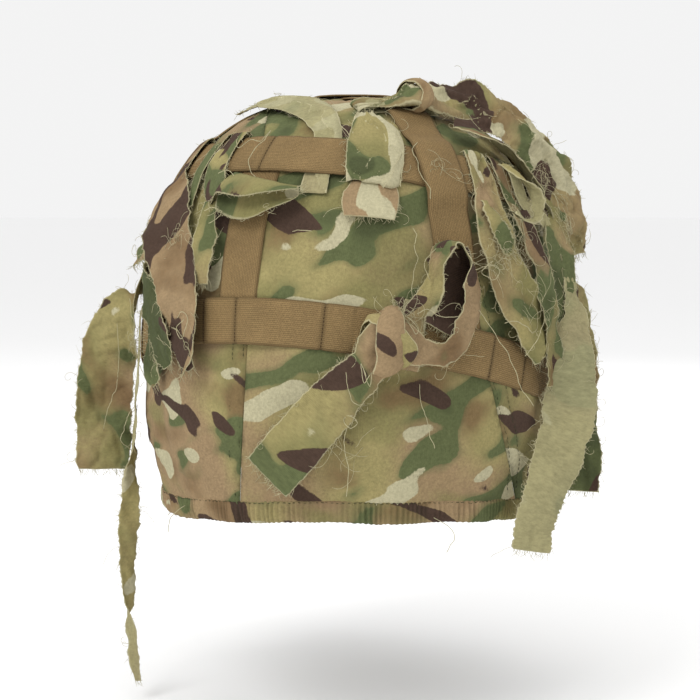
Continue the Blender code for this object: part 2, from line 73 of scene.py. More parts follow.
HALF_WIDTH = 127.5 * MM
HALF_LENGTH = 142.5 * MM
CROWN_RISE = 180 * MM
ROUNDNESS = 2.7
CLOTH = 1.2 * MM
WEB_WIDTH = 25.5 * MM
WEB_THICK = 1.4 * MM
SNUG = 0.5 * MM
RAMP = 12 * MM
HEM_LEVEL = -241 * MM
HEM_DIP = 6 * MM
SKIRT_TOP = -185 * MM
DRAW_IN = 11 * MM
SKIRT_FOLDS = 11
FOLD_DEPTH = 1.8 * MM

# Soft troughs in the cloth. Columns: azimuth, polar, half length, half width, depth mm, slant
TROUGHS = [
    (-8, 52, 16, 5, 2.4, 62),
    (8, 60, 18, 5, 2.0, -58),
    (-45, 56, 15, 6, 2.2, 20),
    (38, 62, 15, 6, 2.4, 70),
    (62, 88, 16, 6, 2.6, 80),
    (-14, 90, 14, 6, 1.8, 35),
    (12, 97, 18, 6, 2.2, -40),
    (-62, 95, 14, 6, 2.4, 80),
    (100, 60, 18, 6, 2.4, 75),
    (140, 84, 18, 7, 2.6, 40),
    (178, 62, 20, 6, 2.2, 70),
    (-150, 88, 18, 7, 2.4, -50),
    (-112, 66, 18, 6, 2.4, 80),
]

# Felled seams. Columns: side, distance from the middle at the crown mm, spread per depth
LEFT_SEAM = (-1, 50, 0.06)
RIGHT_SEAM = (1, 35, 0.25)

# Rings of webbing. Columns: level on the cover's axis mm, rise per x, rise per y
RINGS = {
    "ring_lower": (-164.5, -0.139, -0.256),
    "ring_upper": (-51.9, -0.104, -0.137),
}

# Straps and legs of webbing. Columns: azimuth, the rings that their two ends lie under, lift over the
# crown mm
STRAPS = {
    "strap_over_crown": (24.5, "ring_lower", "ring_lower", 0.5),
    "strap_ear_to_ear": (92, "ring_lower", "ring_lower", 2.6),
    "leg_front": (-28, "ring_upper", "ring_lower", None),
    "leg_back": (152, "ring_upper", "ring_lower", None),
}

TUCK = 7 * MM
OVER_WEB = 2.1 * MM
OVER_STRIP = 2.3 * MM
HALF_CROSSING = WEB_WIDTH / 2 + 2.5 * MM
CROWN_CROSSING = 20 * MM
STRIP_MARGIN = 3 * MM
BUNCH = 13
TAIL_PITCH = 25
TAIL_NARROWS = 0.25
TAIL_WAVE = 1.2
WAVE_TURN = 2.4
BOW = 0.07
BOW_TURN = 0.75 / 9            # radians per mm of run
FREE_LIFT = 5 * MM

# A strip round its webbing, from the hidden end. Columns: place ahead of the webbing's middle mm, lift mm,
# share of the way from the bunched width to the full width
HITCH = [
    (21, 1.6, 0.2),
    (14.5, 1.1, 0.0),
    (-11.5, 1.1, 0.0),
    (-15.6, 1.9, 0.0),
    (-16.6, 3.4, 0.1),
    (-14.6, 4.9, 0.2),
    (-10, 5.2, 0.3),
    (12, 5.4, 0.6),
]

# The same for a strip that only lies under its webbing
TUCKED = [
    (-24, 1.6, 0.5),
    (-12, 1.1, 0.0),
    (15.5, 1.1, 0.0),
]

# Strips with a shape of their own, as in the part's source. Tail columns: azimuth, polar, lift mm, width mm,
# roll, thickness mm
SHAPED_STRIPS = [
    {"name": "strip_ear_left", "on": "strap_ear_to_ear", "at": -60, "leaves": 1, "width": 26, "tail": [
        (-80, 64, 11, 22, -10, 1.2),
        (-84, 70, 18, 29, -58, 1.2),
        (-88, 78, 24, 35, -80, 1.2),
        (-89, 88, 27, 35, -88, 1.2),
        (-89, 99, 28, 34, -91, 1.2),
        (-89, 110, 28, 33, -94, 1.2),
    ]},
    {"name": "strip_long_narrow", "on": "ring_lower", "at": -76, "width": 9, "pale": True, "tail": [
        (-77, 90, 7, 8, 0, 1.2),
        (-79, 99, 8, 8, 5, 1.2),
        (-80, 107, 10, 10, 30, 1.2),
        (-81, 115, 11, 12, 75, 1.2),
        (-82, 123.5, 12, 12, 88, 1.2),
        (-83, 131, 13, 10, 60, 1.2),
        (-83, 136, 12, 9, 10, 1.2),
        (-82, 140, 10, 9, -40, 1.2),
        (-81, 144, 8, 5, -60, 1.2),
    ]},
    {"name": "strip_left_front", "on": "ring_upper", "at": -71, "width": 28, "tail": [
        (-65, 42, 8.5, 27, -12, 1.2),
        (-57.5, 46.5, 11, 31, -15, 1.2),
        (-51.5, 52.5, 12, 31, -22, 1.2),
        (-46.5, 58.5, 11, 30, -18, 1.2),
        (-43, 64.5, 11, 30, -12, 1.2),
        (-41, 71, 10.5, 26, 0, 1.2),
        (-40.5, 76.5, 10, 17, 10, 1.2),
        (-41.5, 80.5, 9, 5, 14, 1.2),
    ]},
    {"name": "strip_left_fold", "on": "ring_lower", "at": -59, "width": 24, "bunch": 14, "arch": 12, "tail": [
        (-57.5, 80.5, 7, 17, -10, 1.2),
        (-55, 83.5, 5.5, 8, -10, 1.2),
    ]},
    {"name": "strip_left_shoulder", "on": "ring_upper", "at": -102, "width": 22, "tail": [
        (-98, 50, 9, 22, -15, 1.2),
        (-92.5, 57, 11, 17, -30, 1.2),
    ]},
    {"name": "strip_flap", "on": "ring_upper", "at": -44, "width": 20, "bunch": 10, "tail": [
        (-38, 44, 7, 19, 8, 1.2),
        (-28, 46, 8.5, 22, 14, 1.2),
        (-19, 46.5, 8.5, 20, 10, 1.2),
        (-13.5, 46, 7, 11, 0, 1.2),
    ]},
    {"name": "strip_left_loop", "on": "ring_upper", "at": -53, "width": 9, "tail": [
        (-52, 42.5, 4.5, 8, 0, 1.2),
        (-51.5, 45.5, 3.5, 6, 0, 1.2),
    ]},
    {"name": "strip_crown_pale", "on": "ring_upper", "at": -9.5, "leaves": -1, "width": 15, "bunch": 15,
     "tucked": True, "tail": [
         (-15, 25, 2.4, 19, 0, 1.2),
         (-30, 20, 4, 22, 0, 1.2),
         (-62, 18, 6, 21, 0, 1.2),
         (-92, 20, 6.4, 16, 0, 1.2),
     ]},
    {"name": "strip_wrap_front", "on": "ring_upper", "at": 5.5, "leaves": -1, "width": 31, "bunch": 28,
     "tail": [
         (5, 30, 6.5, 20, 0, 1.2),
         (4, 27, 6.5, 9, 0, 1.2),
     ]},
    {"name": "strip_crown_knot", "on": "strap_over_crown", "at": 21, "width": 20, "arch": 13,
     "knot_on_band": True, "tail": [
        (27, 22, 11, 23, 0, 10),
        (43, 22, 10.5, 26, 12, 4),
        (58, 24, 13, 33, 22, 1.2),
        (68, 29, 16, 36, 30, 1.2),
        (73, 35.5, 17.5, 36, 32, 1.2),
        (74, 42.5, 17.5, 35, 32, 1.2),
        (77, 49, 17.5, 28, 30, 1.2),
        (78, 55, 15, 18, 30, 1.2),
    ]},
    {"name": "strip_right_long", "on": "ring_upper", "at": 55, "width": 12, "pale": True, "tail": [
        (57, 47, 9, 10, 0, 1.2),
        (62, 56, 13, 10, 15, 1.2),
        (61, 65, 16, 14, 30, 1.2),
        (58, 74, 17, 24, 38, 1.2),
        (56.5, 83, 17.5, 30, 40, 1.2),
        (54.5, 91, 17, 31, 40, 1.2),
        (51, 99, 16, 29, 38, 1.2),
        (47, 107, 14, 27, 34, 1.2),
        (43.5, 114, 12.5, 25, 30, 1.2),
        (42, 119.5, 12, 23, 30, 1.2),
    ]},
    {"name": "strip_right_broad", "on": "ring_upper", "at": 38, "width": 24, "bunch": 10, "tail": [
        (36, 47, 7.5, 19, 0, 1.2),
        (36, 53, 7.5, 24, 0, 1.2),
        (37.5, 59, 8, 27, 5, 1.2),
        (41, 65.5, 8.5, 28, 8, 1.2),
        (45.5, 71.5, 9, 27, 8, 1.2),
        (48.5, 76.5, 9, 18, 8, 1.2),
    ]},
    {"name": "strip_knotted", "on": "ring_lower", "at": 12, "leaves": -1, "width": 15, "tail": [
        (15, 64, 10.5, 15, -50, 1.2),
        (16.8, 59, 12.5, 16, -70, 1.2),
        (19.8, 54.5, 13.5, 18, -75, 1.2),
        (23.3, 55.5, 13.5, 21, -50, 1.2),
        (25, 61.5, 13.5, 23, -36, 1.2),
        (24.5, 67.5, 13, 20, -30, 1.2),
        (22, 72.5, 12.5, 16, -22, 1.2),
        (17.5, 75, 12, 12, -10, 1.6),
        (13, 74.5, 11.7, 14, 0, 4),
        (6.5, 72.5, 12, 25, 0, 12),
        (2.5, 77.5, 10.5, 20, 0, 4),
        (-4.5, 85, 8, 27, 0, 1.2),
        (-12, 94, 6, 30, 0, 1.2),
        (-19, 102, 4.5, 30, 0, 1.2),
    ]},
    {"name": "strip_short_right", "on": "ring_upper", "at": 47, "width": 9, "tail": [
        (47, 47, 6.5, 9, 0, 1.2),
        (47.5, 51.5, 7, 7, 0, 1.2),
    ]},
    {"name": "strip_right_curl", "on": "ring_upper", "at": 62, "width": 8, "tail": [
        (62.5, 45.5, 4.5, 8, 0, 1.2),
        (63, 49, 4.5, 7, 0, 1.2),
    ]},
    {"name": "strip_ear_right", "on": "strap_ear_to_ear", "at": 55, "leaves": -1, "width": 24, "tail": [
        (83, 60.5, 9, 19, 15, 1.2),
        (83, 69, 11.5, 21, 45, 1.2),
        (83, 80, 13.5, 22, 55, 1.2),
        (83, 92, 14.5, 22, 60, 1.2),
        (82, 104, 14, 22, 66, 1.2),
        (80, 114, 13, 21, 70, 1.2),
    ]},
]

# Plain strips, hitched to the webbing and hanging. Columns: name, webbing, place on it, width mm, fall mm,
# sway towards growing azimuth per fall, lift of the end mm, roll of the end
PLAIN_STRIPS = [
    ("strip_back_1", "ring_lower", 121, 27, 88, 0.10, 10, 12),
    ("strip_back_2", "ring_lower", 177, 30, 66, -0.22, 8, -10),
    ("strip_back_3", "ring_lower", -128, 24, 96, 0.06, 12, 20),
    ("strip_back_4", "ring_lower", -108, 19, 54, -0.15, 9, 0),
    ("strip_back_5", "ring_upper", 119, 26, 70, 0.25, 9, 10),
    ("strip_back_6", "ring_upper", 178, 28, 78, 0.16, 9, -12),
    ("strip_back_7", "ring_upper", -129, 24, 74, -0.2, 10, 14),
]


def plain_strip(name, band, at, width, fall, sway, stand, roll):
    return {"name": name, "on": band, "at": at, "width": width, "fall": fall, "sway": sway, "stand": stand,
            "roll": roll}


STRIPS = SHAPED_STRIPS + [plain_strip(*row) for row in PLAIN_STRIPS]

# How each strip was cut and printed. Columns: share of green, of brown, of cream, of tan, pinked edges, seed
CLOTH_CUTS = {
    "strip_ear_left": (-0.01, 0.01, -0.08, -0.04, False, 3),
    "strip_long_narrow": (-0.12, -0.30, 0.10, -0.15, False, 5),
    "strip_left_front": (-0.30, 0.075, -0.20, 0.18, False, 8),
    "strip_left_fold": (0.10, 0.00, 0.02, -0.05, False, 13),
    "strip_left_shoulder": (0.00, 0.08, -0.05, 0.08, False, 21),
    "strip_flap": (0.06, -0.02, -0.04, -0.10, True, 34),
    "strip_left_loop": (0.10, -0.05, 0.00, -0.10, False, 55),
    "strip_crown_pale": (-0.10, -0.30, 0.13, -0.05, False, 7),
    "strip_wrap_front": (0.00, -0.30, 0.15, -0.15, False, 12),
    "strip_crown_knot": (0.00, -0.02, 0.05, 0.03, True, 19),
    "strip_right_long": (-0.02, -0.12, -0.01, -0.10, True, 31),
    "strip_right_broad": (0.03, -0.06, -0.02, -0.08, False, 50),
    "strip_knotted": (0.00, 0.03, -0.02, 0.06, False, 81),
    "strip_short_right": (0.05, -0.05, 0.02, 0.00, False, 11),
    "strip_right_curl": (0.02, -0.05, 0.04, 0.00, False, 29),
    "strip_ear_right": (0.12, 0.04, -0.08, -0.10, False, 47),
}


# Strips folded over along their length, with the length of the open mouth at their end
MOUTHS = {"strip_flap": 60 * MM}

# How much more a strip is crumpled than the others
CRUMPLE = {"strip_crown_knot": 2.6, "strip_ear_left": 1.4, "strip_right_broad": 1.3, "strip_left_fold": 1.8,
           "strip_crown_pale": 0.7, "strip_wrap_front": 0.6, "strip_right_long": 0.8}

# Layers of strips that lie folded on themselves. Columns: strip, place across from -1 to 1, rise mm,
# lean per mm of run
LAYERS = [
    ("strip_wrap_front", -0.12, 1.6, -0.006),
    ("strip_wrap_front", 0.55, 1.2, 0.004),
    ("strip_crown_pale", 0.1, 1.3, 0.002),
    ("strip_right_broad", 0.3, 1.4, -0.004),
    ("strip_crown_knot", -0.3, 2.2, 0.004),
    ("strip_crown_knot", 0.35, -2.0, -0.003),
    ("strip_left_fold", 0.1, 1.5, 0.003),
]

# Torn pieces that hang with a strip. Columns: the strip, how it was cut as in CLOTH_CUTS, then rows of
# azimuth, polar, lift mm, width mm and roll
SCRAPS = [
    ("strip_knotted", (-0.4, 0.5, -0.5, 0.0, False, 6), [
        (22.6, 55.4, 12, 14, 10), (23.1, 58.4, 8, 21, 14), (21.8, 62.5, 7, 23, 10), (19.7, 66.9, 8, 20, 0),
        (17.5, 70.4, 9, 16, 0)]),
    ("strip_ear_right", (0.1, 0.02, -0.1, -0.05, False, 9), [
        (81.1, 41.3, 9, 14, 0), (67.1, 47.1, 12, 20, -15), (60.1, 54.2, 13, 24, -20),
        (58.4, 62, 13, 24, -20), (60.3, 70.1, 12, 20, -10), (63.5, 77.2, 10, 15, 0)]),
    ("strip_ear_right", (0.12, 0.05, -0.2, 0.05, False, 16), [
        (49.4, 46.6, 7, 10, 0), (49.2, 54.9, 10, 14, -10), (49.6, 63.9, 12, 15, -15),
        (51.4, 74, 11, 14, -10), (51.6, 83.9, 9, 11, 0)]),
    ("strip_short_right", (-0.05, -0.3, 0.08, -0.15, True, 14), [
        (43.8, 39, 12, 6, 0), (45.2, 41.4, 17, 8, 20), (47.1, 44.3, 19, 8, 60), (49, 47.1, 18, 7, 90),
        (47.3, 49.4, 16, 6, 120), (43.5, 49.7, 14, 5, 150), (41.4, 48.1, 13, 4, 170)]),
    ("strip_right_broad", (0.0, -0.3, 0.05, -0.1, True, 17), [
        (34.6, 45.9, 8, 8, 0), (34.6, 49.8, 11, 9, 10), (35.9, 53, 12, 9, -10), (38, 55.6, 11, 8, 0)]),
    ("strip_wrap_front", (-0.3, -0.3, 0.16, 0.25, False, 22), [
        (4.8, 42.4, 1.9, 24, 0), (4.4, 44.5, 2.3, 29, 0), (3.7, 47, 3, 30, 0), (3.4, 49.4, 3.4, 27, 0)]),
    ("strip_left_front", (0.1, 0.0, -0.1, 0.0, False, 26), [
        (-39.3, 45.4, 7, 10, 0), (-37.8, 50.8, 9, 12, 15), (-37.3, 56, 9, 12, 10), (-37.1, 61.3, 7, 10, 0)]),
    ("strip_left_fold", (0.22, -0.1, -0.1, 0.0, True, 35), [
        (-76.7, 57.1, 6, 10, 0), (-62.4, 61.4, 9, 16, 0), (-55.9, 65.6, 10, 22, 0),
        (-51.6, 70.8, 10.5, 24, 0), (-48.6, 75.5, 10, 20, 0), (-46.5, 78.4, 9, 10, 0)]),
    ("strip_left_fold", (-0.3, 0.4, -0.4, 0.0, False, 36), [
        (-46.1, 71.5, 9, 10, 0), (-41.8, 74.6, 10, 14, 0), (-39.2, 77, 10, 12, 0), (-37.9, 79, 9, 6, 0)]),
    ("strip_crown_knot", (0.0, 0.08, -0.1, 0.0, False, 37), [
        (37.9, 28.7, 8, 10, 0), (44.7, 31.3, 10, 16, 20), (52.9, 34.6, 10, 20, 30),
        (59.4, 38.9, 10, 22, 30), (64.4, 43.7, 10, 20, 20), (66.8, 48.3, 9, 14, 0)]),
]

# Places where a strip's print differs. Columns: strip, azimuth, polar, radius mm, green, brown, cream, tan
PATCHES = [
    ("strip_knotted", 16.8, 60, 11, -0.10, -0.30, -0.10, -0.12),
    ("strip_knotted", 24.5, 58, 13, -0.30, 0.22, -0.20, 0.00),
    ("strip_knotted", 22.5, 70.5, 12, -0.30, -0.15, -0.20, 0.02),
    ("strip_knotted", 9.0, 73.5, 17, -0.25, -0.12, -0.20, 0.05),
    ("strip_knotted", -12, 93, 25, 0.06, -0.06, -0.03, -0.10),
    ("strip_wrap_front", 1.5, 40, 7, 0.25, 0.00, -0.20, -0.10),
    ("strip_crown_knot", 100, 35, 30, -0.05, -0.02, 0.04, 0.06),
]

# Turns of a strip round its own knot. Columns: strip, half width, half height, skew along the strip, width mm
KNOT_TURNS = [
    ("strip_knotted", 15.0, 9.5, 5.0, 17.0),
    ("strip_knotted", 14.0, 9.0, -7.5, 11.0),
    ("strip_crown_knot", 12.5, 7.2, 4.0, 9.0),
]


# ---------------------------------------------------------------- fineness of the drawn pieces

COVER_HEIGHT = 0.24            # over which the print's shares change
COVER_SHEET = 0.7 * MM         # thickness of the drawn cover
STRIP_HALF = 0.24 * MM         # half the thickness of a drawn strip
PANEL_END = 2.0                # polar degrees from the cover's cloth to its hem
PANEL_GAP = 0.05 * MM          # between two panels at their seam
FAR_FROM_EDGE = 9.0            # mm, for cloth with no torn edge nearby
NO_LAYER = 99.0                # mm, for cloth with no folded layer nearby
STITCH_RADIUS = 0.17 * MM
TACK_RADIUS = 0.2 * MM
STITCH_SIDES = 4
SEAM_ROWS = (1.6, 7.6)         # mm from the seam to its two rows of stitches
SEAM_END = 0.222               # height of the lowest stitch below the crown
SEAM_STITCHES = 78
HEM_STITCH_PITCH = 3.1         # mm
HEM_STITCH_LEVEL = 11.6        # mm above the hem
RING_STATIONS = 420
STRAP_PITCH = 2 * MM
BAND_COLUMNS = 17
TACK_REACH = 10.6              # mm from the webbing's middle to the last stitch of a tack line
TACK_PITCH = 1.9               # mm
TACK_HALF = 0.62               # mm, half the length of one stitch
STRIP_COLUMN = 1.1             # mm between the columns of a strip's mesh
STRIP_COLUMNS = (9, 33)        # fewest and most
SIDE_PITCH = 0.85 * MM         # between the fibres of a torn side
CURL_PITCH = 20 * MM           # between its curled fibres
FIBRE_SIDES = 3
CURL_STEPS = 18
THREAD_STEPS = 60
PATCH_LIFT = 12 * MM
FLOOR_DROP = 0.012
LENS = 85
SENSOR = 36
WORLD_STRENGTH = 0.9

# Lamps. Columns: name, place, point it faces, side of its square, power
LAMPS = [
    ("key_light", (-0.9, -1.2, 1.3), (0, 0, -0.12), 0.9, 16),
    ("top_light", (0.1, -0.1, 1.7), (0, 0, -0.1), 1.4, 6),
    ("back_light", (0.4, 1.7, 0.9), (0, 0, -0.1), 1.4, 5),
]


# ---------------------------------------------------------------- maths on the form

def unit(v):
    return v / np.linalg.norm(v, axis=-1, keepdims=True)


def smooth(t):
    t = np.clip(t, 0, 1)
    return t * t * (3 - 2 * t)


def direction(azimuth, polar):
    """Unit vector from the form's centre: azimuth from the front towards +X, polar angle from the crown."""
    azimuth, polar = np.radians(azimuth), np.radians(polar)
    return np.stack([np.sin(polar) * np.sin(azimuth), -np.sin(polar) * np.cos(azimuth),
                     np.cos(polar) + 0 * azimuth], axis=-1)


FORM_CENTRE = np.array([0, 0, CLOTH - CROWN_RISE])


def form_radius(n):
    plan = (n[..., 0] / HALF_WIDTH) ** 2 + (n[..., 1] / HALF_LENGTH) ** 2
    rise = np.maximum(n[..., 2], 0) / CROWN_RISE
    return (plan ** (ROUNDNESS / 2) + rise ** ROUNDNESS) ** (-1 / ROUNDNESS)


def form_normal(n):
    plan = np.maximum((n[..., 0] / HALF_WIDTH) ** 2 + (n[..., 1] / HALF_LENGTH) ** 2, 1e-12)
    rise = np.maximum(n[..., 2], 0) / CROWN_RISE
    side = plan ** (ROUNDNESS / 2 - 1)
    slope = np.stack([side * n[..., 0] / HALF_WIDTH ** 2, side * n[..., 1] / HALF_LENGTH ** 2,
                      rise ** (ROUNDNESS - 1) / CROWN_RISE], axis=-1)
    return unit(slope)


def on_form(n, lift):
    """Point over the form in direction n, lifted off it along its normal."""
    return FORM_CENTRE + n * form_radius(n)[..., None] + form_normal(n) * np.asarray(lift)[..., None]


def towards(point):
    return unit(point - FORM_CENTRE)


def wall_radius(azimuth):
    azimuth = np.radians(azimuth)
    return 1 / np.hypot(np.sin(azimuth) / HALF_WIDTH, np.cos(azimuth) / HALF_LENGTH)


def slide(n, step):
    """Direction reached by a step along the form's surface."""
    return towards(on_form(n, np.zeros(n.shape[:-1])) + step)


def tangents(n):
    """Unit vectors down the form and towards growing azimuth at direction n."""
    normal = form_normal(n)
    side = unit(np.stack([-normal[..., 1], normal[..., 0], 0 * normal[..., 0]], axis=-1))
    return np.cross(side, normal), side


def wander(x, y, seed):
    """Smooth value noise from -1 to 1 over the plane."""
    x, y = np.broadcast_arrays(np.asarray(x, float), np.asarray(y, float))
    x0, y0 = np.floor(x), np.floor(y)

    def corner(i, j):
        value = np.sin((x0 + i) * 127.1 + (y0 + j) * 311.7 + seed * 74.7) * 43758.5453
        return (value - np.floor(value)) * 2 - 1

    u, v = smooth(x - x0), smooth(y - y0)
    low = corner(0, 0) * (1 - u) + corner(1, 0) * u
    high = corner(0, 1) * (1 - u) + corner(1, 1) * u
    return low * (1 - v) + high * v


def seed_of(name):
    return zlib.crc32(name.encode()) % 997


# ---------------------------------------------------------------- the cage's paths

def on_ring(name, azimuth):
    """Directions of points on a ring: where its tilted plane meets the form."""
    level, per_x, per_y = RINGS[name]
    azimuth = np.asarray(azimuth, float)
    height = np.full(azimuth.shape, level * MM)
    for _ in range(8):
        rise = np.clip((height - FORM_CENTRE[2]) / CROWN_RISE, 0, 0.999)
        reach = wall_radius(azimuth) * (1 - rise ** ROUNDNESS) ** (1 / ROUNDNESS)
        x, y = reach * np.sin(np.radians(azimuth)), -reach * np.cos(np.radians(azimuth))
        height = level * MM + per_x * x + per_y * y
    return towards(np.stack([x, y, height], axis=-1))


def ring_polar(name, azimuth):
    return float(np.degrees(np.arccos(on_ring(name, azimuth)[2])))


def climb(points, humps):
    """Lift of webbing along its points. Each hump is a place, its half length and the lift it needs."""
    lift = np.full(len(points), SNUG)
    for place, half_length, height in humps:
        away = np.linalg.norm(points - place, axis=1)
        lift = np.maximum(lift, SNUG + (height - SNUG) * smooth((half_length + RAMP - away) / RAMP))
    return lift


def strap_end(ring, azimuth, past=1):
    reach = form_radius(on_ring(ring, azimuth))
    return ring_polar(ring, azimuth) + past * math.degrees(TUCK / reach)


def ring_humps(ring):
    humps = strip_humps(ring)
    for azimuth, first, second, crown_lift in STRAPS.values():
        turns = [(azimuth, second), (azimuth if crown_lift is None else azimuth + 180, first)]
        humps += [(on_form(on_ring(ring, turn), 0.0), HALF_CROSSING, SNUG + OVER_WEB)
                  for turn, end in turns if end == ring]
    return humps


def lift_over(ring, azimuth):
    """Lift that a strap needs to cross a ring."""
    reach = np.linalg.norm(on_form(on_ring(ring, azimuth), 0.0)[:2])
    n = on_ring(ring, azimuth + np.linspace(-1, 1, 9) * math.degrees(HALF_CROSSING / reach))
    return climb(on_form(n, np.zeros(len(n))), ring_humps(ring)).max() + OVER_WEB


def hitch_direction(strip, further=0):
    band, at = strip["on"], strip["at"] + further
    if band in RINGS:
        return on_ring(band, at)
    return direction(float(STRAPS[band][0]), float(at))


def bunched(strip):
    return min(strip.get("bunch", BUNCH), strip["width"])


def strip_humps(band):
    return [(on_form(hitch_direction(s), 0.0), bunched(s) / 2 * MM + STRIP_MARGIN, OVER_STRIP)
            for s in STRIPS if s["on"] == band]


def hitch_rows(strip):
    """Rows of direction, lift, width, roll and thickness round the webbing, from the hidden end."""
    n = hitch_direction(strip)
    band_run = on_form(hitch_direction(strip, 1), 0.0) - on_form(n, 0.0)
    ahead = unit(np.cross(form_normal(n), band_run))
    down, side = tangents(n)
    usual = down if strip["on"] in RINGS else side
    ahead = ahead * np.sign(ahead @ usual) * strip.get("leaves", 1)
    narrow, full = bunched(strip), strip["width"]
    rows = []
    for distance, lift, share in TUCKED if strip.get("tucked") else HITCH:
        if distance < -WEB_WIDTH / 2 / MM:
            distance -= strip.get("arch", 0)
        wide = narrow + share * (full - narrow)
        rows.append((*slide(n, ahead * distance * MM), lift * MM, wide * MM, 0, CLOTH))
    return rows[:-1] if strip.get("knot_on_band") else rows


def tail_rows(strip):
    if "tail" in strip:
        return [(*direction(float(azimuth), float(polar)), lift * MM, width * MM, roll, thick * MM)
                for azimuth, polar, lift, width, roll, thick in strip["tail"]]
    n = hitch_direction(strip)
    rows = []
    steps = max(2, round(strip["fall"] / TAIL_PITCH))
    front = HITCH[-1][1]
    for i in range(1, steps + 1):
        t = i / steps
        down, side = tangents(n)
        n = slide(n, (down + side * strip["sway"]) * strip["fall"] * MM / steps)
        wave = TAIL_WAVE * math.sin(WAVE_TURN * i + strip["at"])
        lift = front + (strip["stand"] - front) * smooth(t) + wave
        width = strip["width"] * (1 - TAIL_NARROWS * t)
        rows.append((*n, lift * MM, width * MM, strip["roll"] * t, CLOTH))
    return rows


def through_rows(rows, pitch):
    """Smooth run through the rows, with a station about every pitch."""
    rows = np.array(rows, float)
    places = on_form(unit(rows[:, :3]), rows[:, 3])
    chords = np.linalg.norm(np.diff(places, axis=0), axis=1)
    steps = np.sqrt(chords)
    slopes = np.gradient(rows, np.concatenate([[0], np.cumsum(steps)]), axis=0)
    stations = [rows[0]]
    for a, b, leave, arrive, step, chord in zip(rows, rows[1:], slopes, slopes[1:], steps, chords):
        count = max(1, round(chord / pitch))
        for t in np.arange(1, count + 1) / count:
            s = t * t * (3 - 2 * t)
            stations.append(a + (b - a) * s + step * t * (1 - t) * (leave * (1 - t) - arrive * t))
    return np.array(stations)


class Run:
    """A strip's path: its centre, its width direction and its depth direction at each station."""

    def __init__(self, strip, pitch):
        rows = tail_rows(strip) if strip.get("scrap") else hitch_rows(strip) + tail_rows(strip)
        stations = through_rows(rows, pitch)
        self.n, self.lift, self.width = unit(stations[:, :3]), stations[:, 3], stations[:, 4]
        roll, self.thick = np.radians(stations[:, 5]), stations[:, 6]
        centre = on_form(self.n, self.lift)
        self.centre = centre
        self.run = unit(np.gradient(centre, axis=0))
        self.normal = form_normal(self.n)
        self.along = np.concatenate([[0], np.cumsum(np.linalg.norm(np.diff(centre, axis=0), axis=1))])
        self.wide, self.deep = np.zeros_like(centre), np.zeros_like(centre)
        across = unit(np.cross(self.run[0], self.normal[0]))
        for i, (run, normal) in enumerate(zip(self.run, self.normal)):
            level = np.cross(run, normal)
            if np.linalg.norm(level) > 0.6:
                across = unit(level) * (1 if level @ across > 0 else -1)
            else:
                across = unit(across - run * (across @ run))
            up = np.cross(across, run)
            up = up if up @ normal > 0 else -up
            self.wide[i] = across * math.cos(roll[i]) + up * math.sin(roll[i])
            self.deep[i] = unit(np.cross(self.wide[i], run))
        self.free = smooth((self.lift - FREE_LIFT) / FREE_LIFT)
        turn = BOW_TURN * self.along / MM
        self.bow = BOW * self.width * self.free * CLOTH / self.thick * np.sin(turn + len(strip["name"]))

    def place(self, across, out):
        """Points beside the centre line. across and out are in metres, one row per station."""
        offset = self.wide[:, None] * across[..., None] + self.deep[:, None] * out[..., None]
        normal = self.normal[:, None]
        height = (offset * normal).sum(-1)
        n = np.broadcast_to(self.n[:, None], offset.shape)
        return on_form(slide(n, offset - normal * height[..., None]), self.lift[:, None] + height)


# ---------------------------------------------------------------- meshes

def shown(mesh):
    """Put a mesh in the scene as a smooth piece that rides on the part's one body."""
    mesh.shade_smooth()
    piece = bpy.data.objects.new(mesh.name, mesh)
    bpy.context.collection.objects.link(piece)
    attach(piece, "root")
    return piece


def new_piece(name, points, faces, materials, face_slots=None):
    """Piece from points and quads, with its materials."""
    mesh = bpy.data.meshes.new(name)
    mesh.from_pydata(np.asarray(points).reshape(-1, 3).tolist(), [], np.asarray(faces).tolist())
    for material in materials:
        mesh.materials.append(material)
    if face_slots is not None:
        mesh.polygons.foreach_set("material_index", np.asarray(face_slots, np.int32))
    mesh.validate()
    mesh.update()
    return shown(mesh)


def note(piece, name, values):
    """Keep a vector per point on the mesh for its material."""
    layer = piece.data.attributes.new(name, "FLOAT_VECTOR", "POINT")
    layer.data.foreach_set("vector", np.asarray(values, np.float32).ravel())


def grid_faces(rows, columns, start=0, closed=False, flip=False):
    """Quads of a grid of points. closed joins the last column to the first."""
    i, j = np.meshgrid(np.arange(rows - 1), np.arange(columns if closed else columns - 1), indexing="ij")
    k = (j + 1) % columns
    a, b = start + i * columns + j, start + i * columns + k
    c, d = start + (i + 1) * columns + k, start + (i + 1) * columns + j
    quads = np.stack([a, b, c, d], axis=-1).reshape(-1, 4)
    return quads[:, ::-1] if flip else quads


def ring_faces(rows, columns, flip=False):
    """Quads of a grid of points whose rows and columns both close on themselves."""
    i, j = np.meshgrid(np.arange(rows), np.arange(columns), indexing="ij")
    k, below = (j + 1) % columns, (i + 1) % rows
    corners = [i * columns + j, i * columns + k, below * columns + k, below * columns + j]
    if flip:
        corners[1], corners[3] = corners[3], corners[1]
    return np.stack(corners, axis=-1).reshape(-1, 4)


def rim_faces(loop, shift):
    """Quads between a loop of points and the same loop shift further on."""
    loop = np.asarray(loop)
    after = np.roll(loop, -1)
    return np.stack([loop, after, after + shift, loop + shift], axis=-1)


def grid_rim(rows, columns):
    """Outline of a grid, in order."""
    top = np.arange(columns)
    right = np.arange(1, rows) * columns + columns - 1
    bottom = (rows - 1) * columns + np.arange(columns - 2, -1, -1)
    left = np.arange(rows - 2, 0, -1) * columns
    return np.concatenate([top, right, bottom, left])


